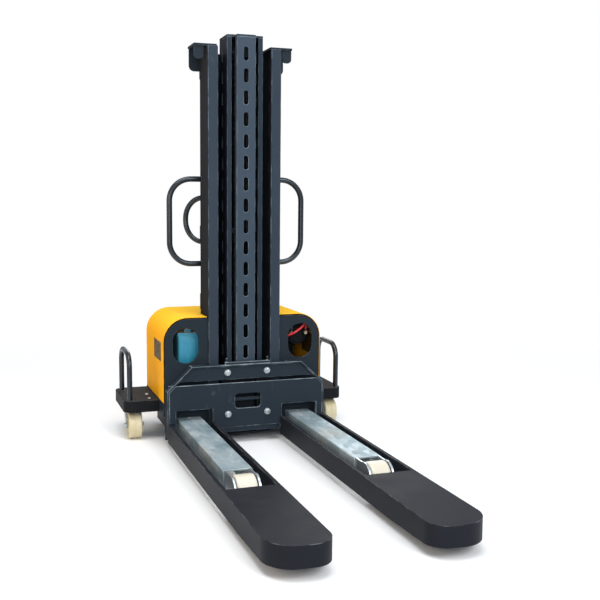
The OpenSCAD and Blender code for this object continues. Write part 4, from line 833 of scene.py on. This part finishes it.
plugs = (hexagon(pack + (-14, block_y, 30), Z, 17, 7, 1.4, 10.5)
         + hexagon(pack + (18, block_y, 30), Z, 13, 6, 1.2, 8.5)
         + hexagon(pack + (36, block_y, -10), X, 15, 6, 1.2, 9.5))
joined("valve_plugs", plugs, zinc)
tank = bent([(0, 160), (45, 160), (46, 161), (46, 171), (45.2, 172), (45.2, 262), (43, 268), (34, 270),
             (0, 270)], 1.4, 4)
filler = [(0, 44), (13, 44), (13, 52), (11.6, 53.6), (0, 53.6)]
joined("oil_tank_can", [turned(tank, pack, Y, 72),
                        turned(filler, pack + (0, filler_y, 0), Z, 32)], gloss_black, "oil_tank")
eased("motor_contactor", gloss_black, 1.6, 3)
contactor_nuts = hexagons([(relay_x, y, relay_z - 9.8) for y in (relay_front, relay_rear)], Z, 11, 4.5)
joined("contactor_nuts", contactor_nuts, copper)

# The hydraulic hose: rubber-covered wire braid between the pump and the cylinder's port, fixed at
# both ends by crimped ferrules.
hose_route = [pack + (-50, block_y, 0), [150, 236, 388], [100, 236, 394], [45, 226, 420], [14, 200, 458],
              [2, 193, 520], [0, 193, 600], [0, 196, 680], [0, 208, 730], [0, 213, 762],
              [0, 204, port_z], [0, 190, port_z]]
hose_path = spine(hose_route)
joined("lift_hose", [pipe(hose_path, 7)], black_rubber, "hydraulic_hose")


def ferrule(lot):
    """A crimped sleeve round a stretch of the hose: its radius dips where a sine with three
    turns along it is more than 0.2."""
    path = hose_path[lot]
    k = np.linspace(0, 1, 25)
    size = 8.6 - 0.7 * (np.sin(k * 6 * pi) > 0.2) * ((k > 0.08) & (k < 0.92))
    return pipe(sampled(path, np.linspace(0, 1, len(path)), k), size)


joined("hose_ferrules", [ferrule(slice(0, 8)), ferrule(slice(-9, None))], zinc)

# The rear hood: a formed steel cover with round shoulders over the battery and the power unit,
# glossy yellow, with a dark louvred vent panel behind an opening in each side.
yellow = Finish("yellow_gloss_paint", "yellow_paint")
shade = yellow.noise(3.2).between(0.3, 0.7)
grime = yellow.noise(30, detail=6).between(0.62, 0.8)
tone = yellow.mix(shade, rgb(248, 170, 34), rgb(252, 178, 36))
# Faces that look up are painted a lighter yellow: painted light from above.
tone = yellow.mix(yellow.mark("up").between(0.15, 0.95), tone, rgb(255, 198, 50))
chipped = yellow.mark("edge") * yellow.noise(34).between(0.5, 0.72)
tone = yellow.mix(grime * 0.14 + chipped * 0.5, tone, rgb(146, 88, 8))
yellow.lay(tone, shade * 0.05 + grime * 0.2 + 0.34, 0.0, yellow.noise(170, detail=1.0), 0.00008,
           Specular_IOR_Level=0.0, Coat_Weight=0.06, Coat_Roughness=0.16)
hood_low, hood_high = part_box("rear_hood")
hood_screw_x, hood_screw_z = 250, (200, 330)


def rear_rim(x, y, z, e):
    """The hood's outer rim at the back, away from its screw holes and its foot."""
    far = (min(abs(z - screw * 0.001) for screw in hood_screw_z) > 0.012
           or abs(abs(x) - hood_screw_x * 0.001) > 0.012)
    return min(v.co.y for v in e.verts) > hood_high.y - 1e-4 and z > hood_low.z + 0.004 and far


eased("rear_hood", yellow, 0.7, 2, 7.0, rear_rim)
vent = Finish("vent_grille", "vent_dark")
soot = vent.noise(60, detail=4).between(0.4, 0.7)
vent.lay(vent.mix(soot, rgb(96, 74, 30), rgb(60, 46, 20)), soot * 0.2 + 0.5, 0.0, vent.noise(300), 0.0001)
eased("hood_vent_panels", vent, 0.5, 1)
pan = [(0, 2.0), (2.2, 2.0), (2.2, 3.5), (3.2, 4.0), (4.3, 3.0), (4.6, 1.5), (6.1, 1.5), (6.5, 1.1), (6.5, 0),
       (0, 0)]
button = [(0, 1.4), (1.9, 1.4), (1.9, 2.4), (3.4, 3.0), (5.2, 2.0), (6, 0.6), (6, 0), (0, 0)]
deck_z, hood_back = 150, drawn("rear_hood")[1][1]
deck_screws = [turned(pan, (x, y, deck_z), Z, 28) for x, y in ((335, 170), (331, 240))]
hood_screws = [turned(button, (hood_screw_x, hood_back, z), Y, 28) for z in hood_screw_z]
joined("body_screw_heads", both(deck_screws + hood_screws), zinc, "body_screws")

# The side platforms: shallow steel trays with a rim, bolted to the chassis, with a gritty non-slip
# coat on top; an inverted-U guard of black tube is welded to the outer side of each.
deck_coat = powder_coat("non_slip_coat", "black_paint", rgb(27, 29, 32), rgb(84, 84, 84), 0.8, 0.48,
                        grit=0.5, tint=(1, 1, 1, 1))
eased_pair("side_platform_", deck_coat, 1.2)


def foot_ring(centre, axis, radius):
    """A closed weld bead round the foot of a tube."""
    return bead(centre + radius * (circle(40) @ across(axis)), 2.4, True)


tube_coat = powder_coat("tube_powder_coat", "black_paint", rgb(22, 25, 31), rgb(96, 98, 104), 0.5, 0.22,
                        shine=0.6)
guard_x, guard_front, guard_rear, guard_top, guard_bend = 411, 150, 337, 322, 52
guard = [(guard_x, guard_front, deck_z), (guard_x, guard_front, guard_top), (guard_x, guard_rear, guard_top),
         (guard_x, guard_rear, deck_z)]
joined("step_guard_tubes", both([pipe(bent(guard, guard_bend, 12), 10)]), tube_coat, "step_guards")
guard_seams = [foot_ring((guard_x, y, deck_z + 0.4), Z, 10.4) for y in (guard_front, guard_rear)]
joined("step_guard_welds", both(guard_seams), tube_coat)

# The casters: a zinc-plated top plate bolted under each platform, a pressed swivel fork on a head
# pin, and a wheel of older nylon on a bolt; each swivels freely and trails its axis.
eased("caster_top_plates", zinc, 0.9)
swivel_x, swivel_y, plate_under = 391, 217, 139
corners = [(swivel_x + x, swivel_y + y, plate_under) for x in (-30, 25) for y in (-32, 32)]
joined("caster_plate_bolts", both(hexagons(corners, -Z, 10, 4.0)), zinc)
old_nylon = cast_nylon("caster_nylon", rgb(214, 205, 174), rgb(198, 186, 148))
caster_face = [(6.05, 0), (12, 0), (13, 2.5), (20, 2.5), (22, 5), (37, 5), (39.5, 0.6), (45.4, 0), (48.6, 2),
               (50, 6)]
for side in hands:
    eased("caster_fork_" + side, zinc, 0.9)
    nylon_wheel("caster_wheel_" + side, caster_face, old_nylon, 0.45, 2, [(50, 1.4), (49, 0.9)])

# The handles: bent black tube welded to the mast, a large D on each side to tip and lift the
# machine by, and a smaller hoop behind each channel, turned outwards, to push it by. Their welds
# and those of the ears at the top of the mast are one piece.
mast_x, lift_y, lift_low, lift_high, lift_r = 136.5, 150, 655, 967, 10.5
reach_x = drawn("lift_handles")[1][0] - lift_r
lift = [(mast_x, lift_y, lift_high), (reach_x, lift_y, lift_high), (reach_x, lift_y, lift_low),
        (mast_x, lift_y, lift_low)]
joined("lift_handle_tubes", both([pipe(bent(lift, 80, 12), lift_r)]), tube_coat, "lift_handles")
slant, drop = np.array([0.70711, 0.70711, 0]), np.array([0, 0, 165])
top = np.array([110, 158, 899.0])
push = [top + slant * 18, top + slant * 97, top + slant * 97 - drop, top + slant * 18 - drop]
joined("push_handle_tubes", both([pipe(bent(push, 78, 12), 10)]), tube_coat, "rear_push_handles")
handle_seams = [foot_ring((mast_x + 0.7, lift_y, z), X, 10.8) for z in (lift_low, lift_high)]
ear_seams = [bead([(139, 90, 1432), (139, 150, 1432)], 2.4),
             bead([(138.2, 157, 1362), (138.2, 157, 1426)], 2.2)]
joined("handle_welds", both(handle_seams + ear_seams), tube_coat)

# The control box: a moulded box on the rear guard with a lift button, a lower button, a red stop
# mushroom on a collar and a key switch; a conduit runs down to the hood.
box_black = powder_coat("control_box_plastic", "black_plastic", rgb(34, 35, 38), rgb(86, 88, 90), 0.4, 0.5)
eased("control_box", box_black, 1.6, 3)
face_y, box_z = drawn("control_box")[1][1], 930.0
aside, upper_row, lower_row = 45, box_z + 92, box_z + 40
collar = [(10.4, 0), (14.5, 0), (14.5, 1.8), (13.6, 2.8), (11, 2.8), (10.4, 2.2)]
spots = [(-aside, upper_row), (-aside, lower_row), (aside, lower_row)]
collars = [turned(collar, (x, face_y, z), Y, 40, True) for x, z in spots]
wide_collar = [(r + 2.0, a) for r, a in collar]
collars.append(turned(wide_collar, (aside, face_y, upper_row), Y, 40, True))
joined("control_collars", collars, turned_steel)
box_screws = [turned(stud, (71, face_y, box_z + z), Y, 20) for z in (9, 121)]
joined("control_box_screws", both(box_screws), zinc)


def moulded(name, slot, colour, second):
    plastic = Finish(name, slot)
    cast = plastic.noise(60).between(0.3, 0.7)
    return plastic.lay(plastic.mix(cast, colour, second), cast * 0.1 + 0.26, 0.0, plastic.noise(700), 0.00004)


white_plastic = moulded("white_button_plastic", "button_white", rgb(222, 226, 224), rgb(204, 208, 206))
green_plastic = moulded("green_button_plastic", "button_green", rgb(26, 120, 70), rgb(18, 98, 56))
cap = bent([(0, -12), (9.6, -12), (9.6, 5.2), (8.4, 6), (5, 5.2), (0, 5.0)], 0.7, 3)
for node, z, finish in (("lift_button", upper_row, white_plastic), ("lower_button", lower_row, green_plastic)):
    joined(node + "_cap", [turned(cap, (-aside, face_y, z), Y, 40)], finish, node)
red = moulded("stop_mushroom_plastic", "stop_red", rgb(200, 24, 26), rgb(172, 16, 20))
mushroom = bent([(0, -12), (11.6, -12), (11.6, 13), (14, 14), (18.2, 14.6), (19, 17), (18, 21), (12, 23.4),
                 (0, 24)], 1.2, 4)
joined("stop_mushroom", [turned(mushroom, (aside, face_y, upper_row), Y, 56)], red, "emergency_stop_button")
barrel = bent([(0, -19.5), (9.9, -19.5), (9.9, 3), (9, 4), (0, 4)], 0.5, 2)
ring, thick = circle(32) @ (Y, Z), 1.1 * X
bow, hole = ring * (0, 8.4, 8) + 17.5 * Y, ring * 2.6 + 20 * Y
keyhole = np.array([aside, face_y, lower_row])
key = np.stack([hole + thick, bow + thick, bow - thick, hole - thick]) + keyhole
blade = bent([(-1.1, 3.6), (1.1, 3.6), (1.1, 12), (-1.1, 12)], 0.3, 2, True)
blade = np.stack([np.c_[blade, np.full(len(blade), z)] for z in (-3.6, 3.6)]) + keyhole
joined("key_and_barrel", [turned(barrel, keyhole, Y, 40), skin(at(key), True), skin(at(blade))],
       turned_steel, "key_switch")

{"cad": cad_box, "visual": [list(corner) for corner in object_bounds()]}
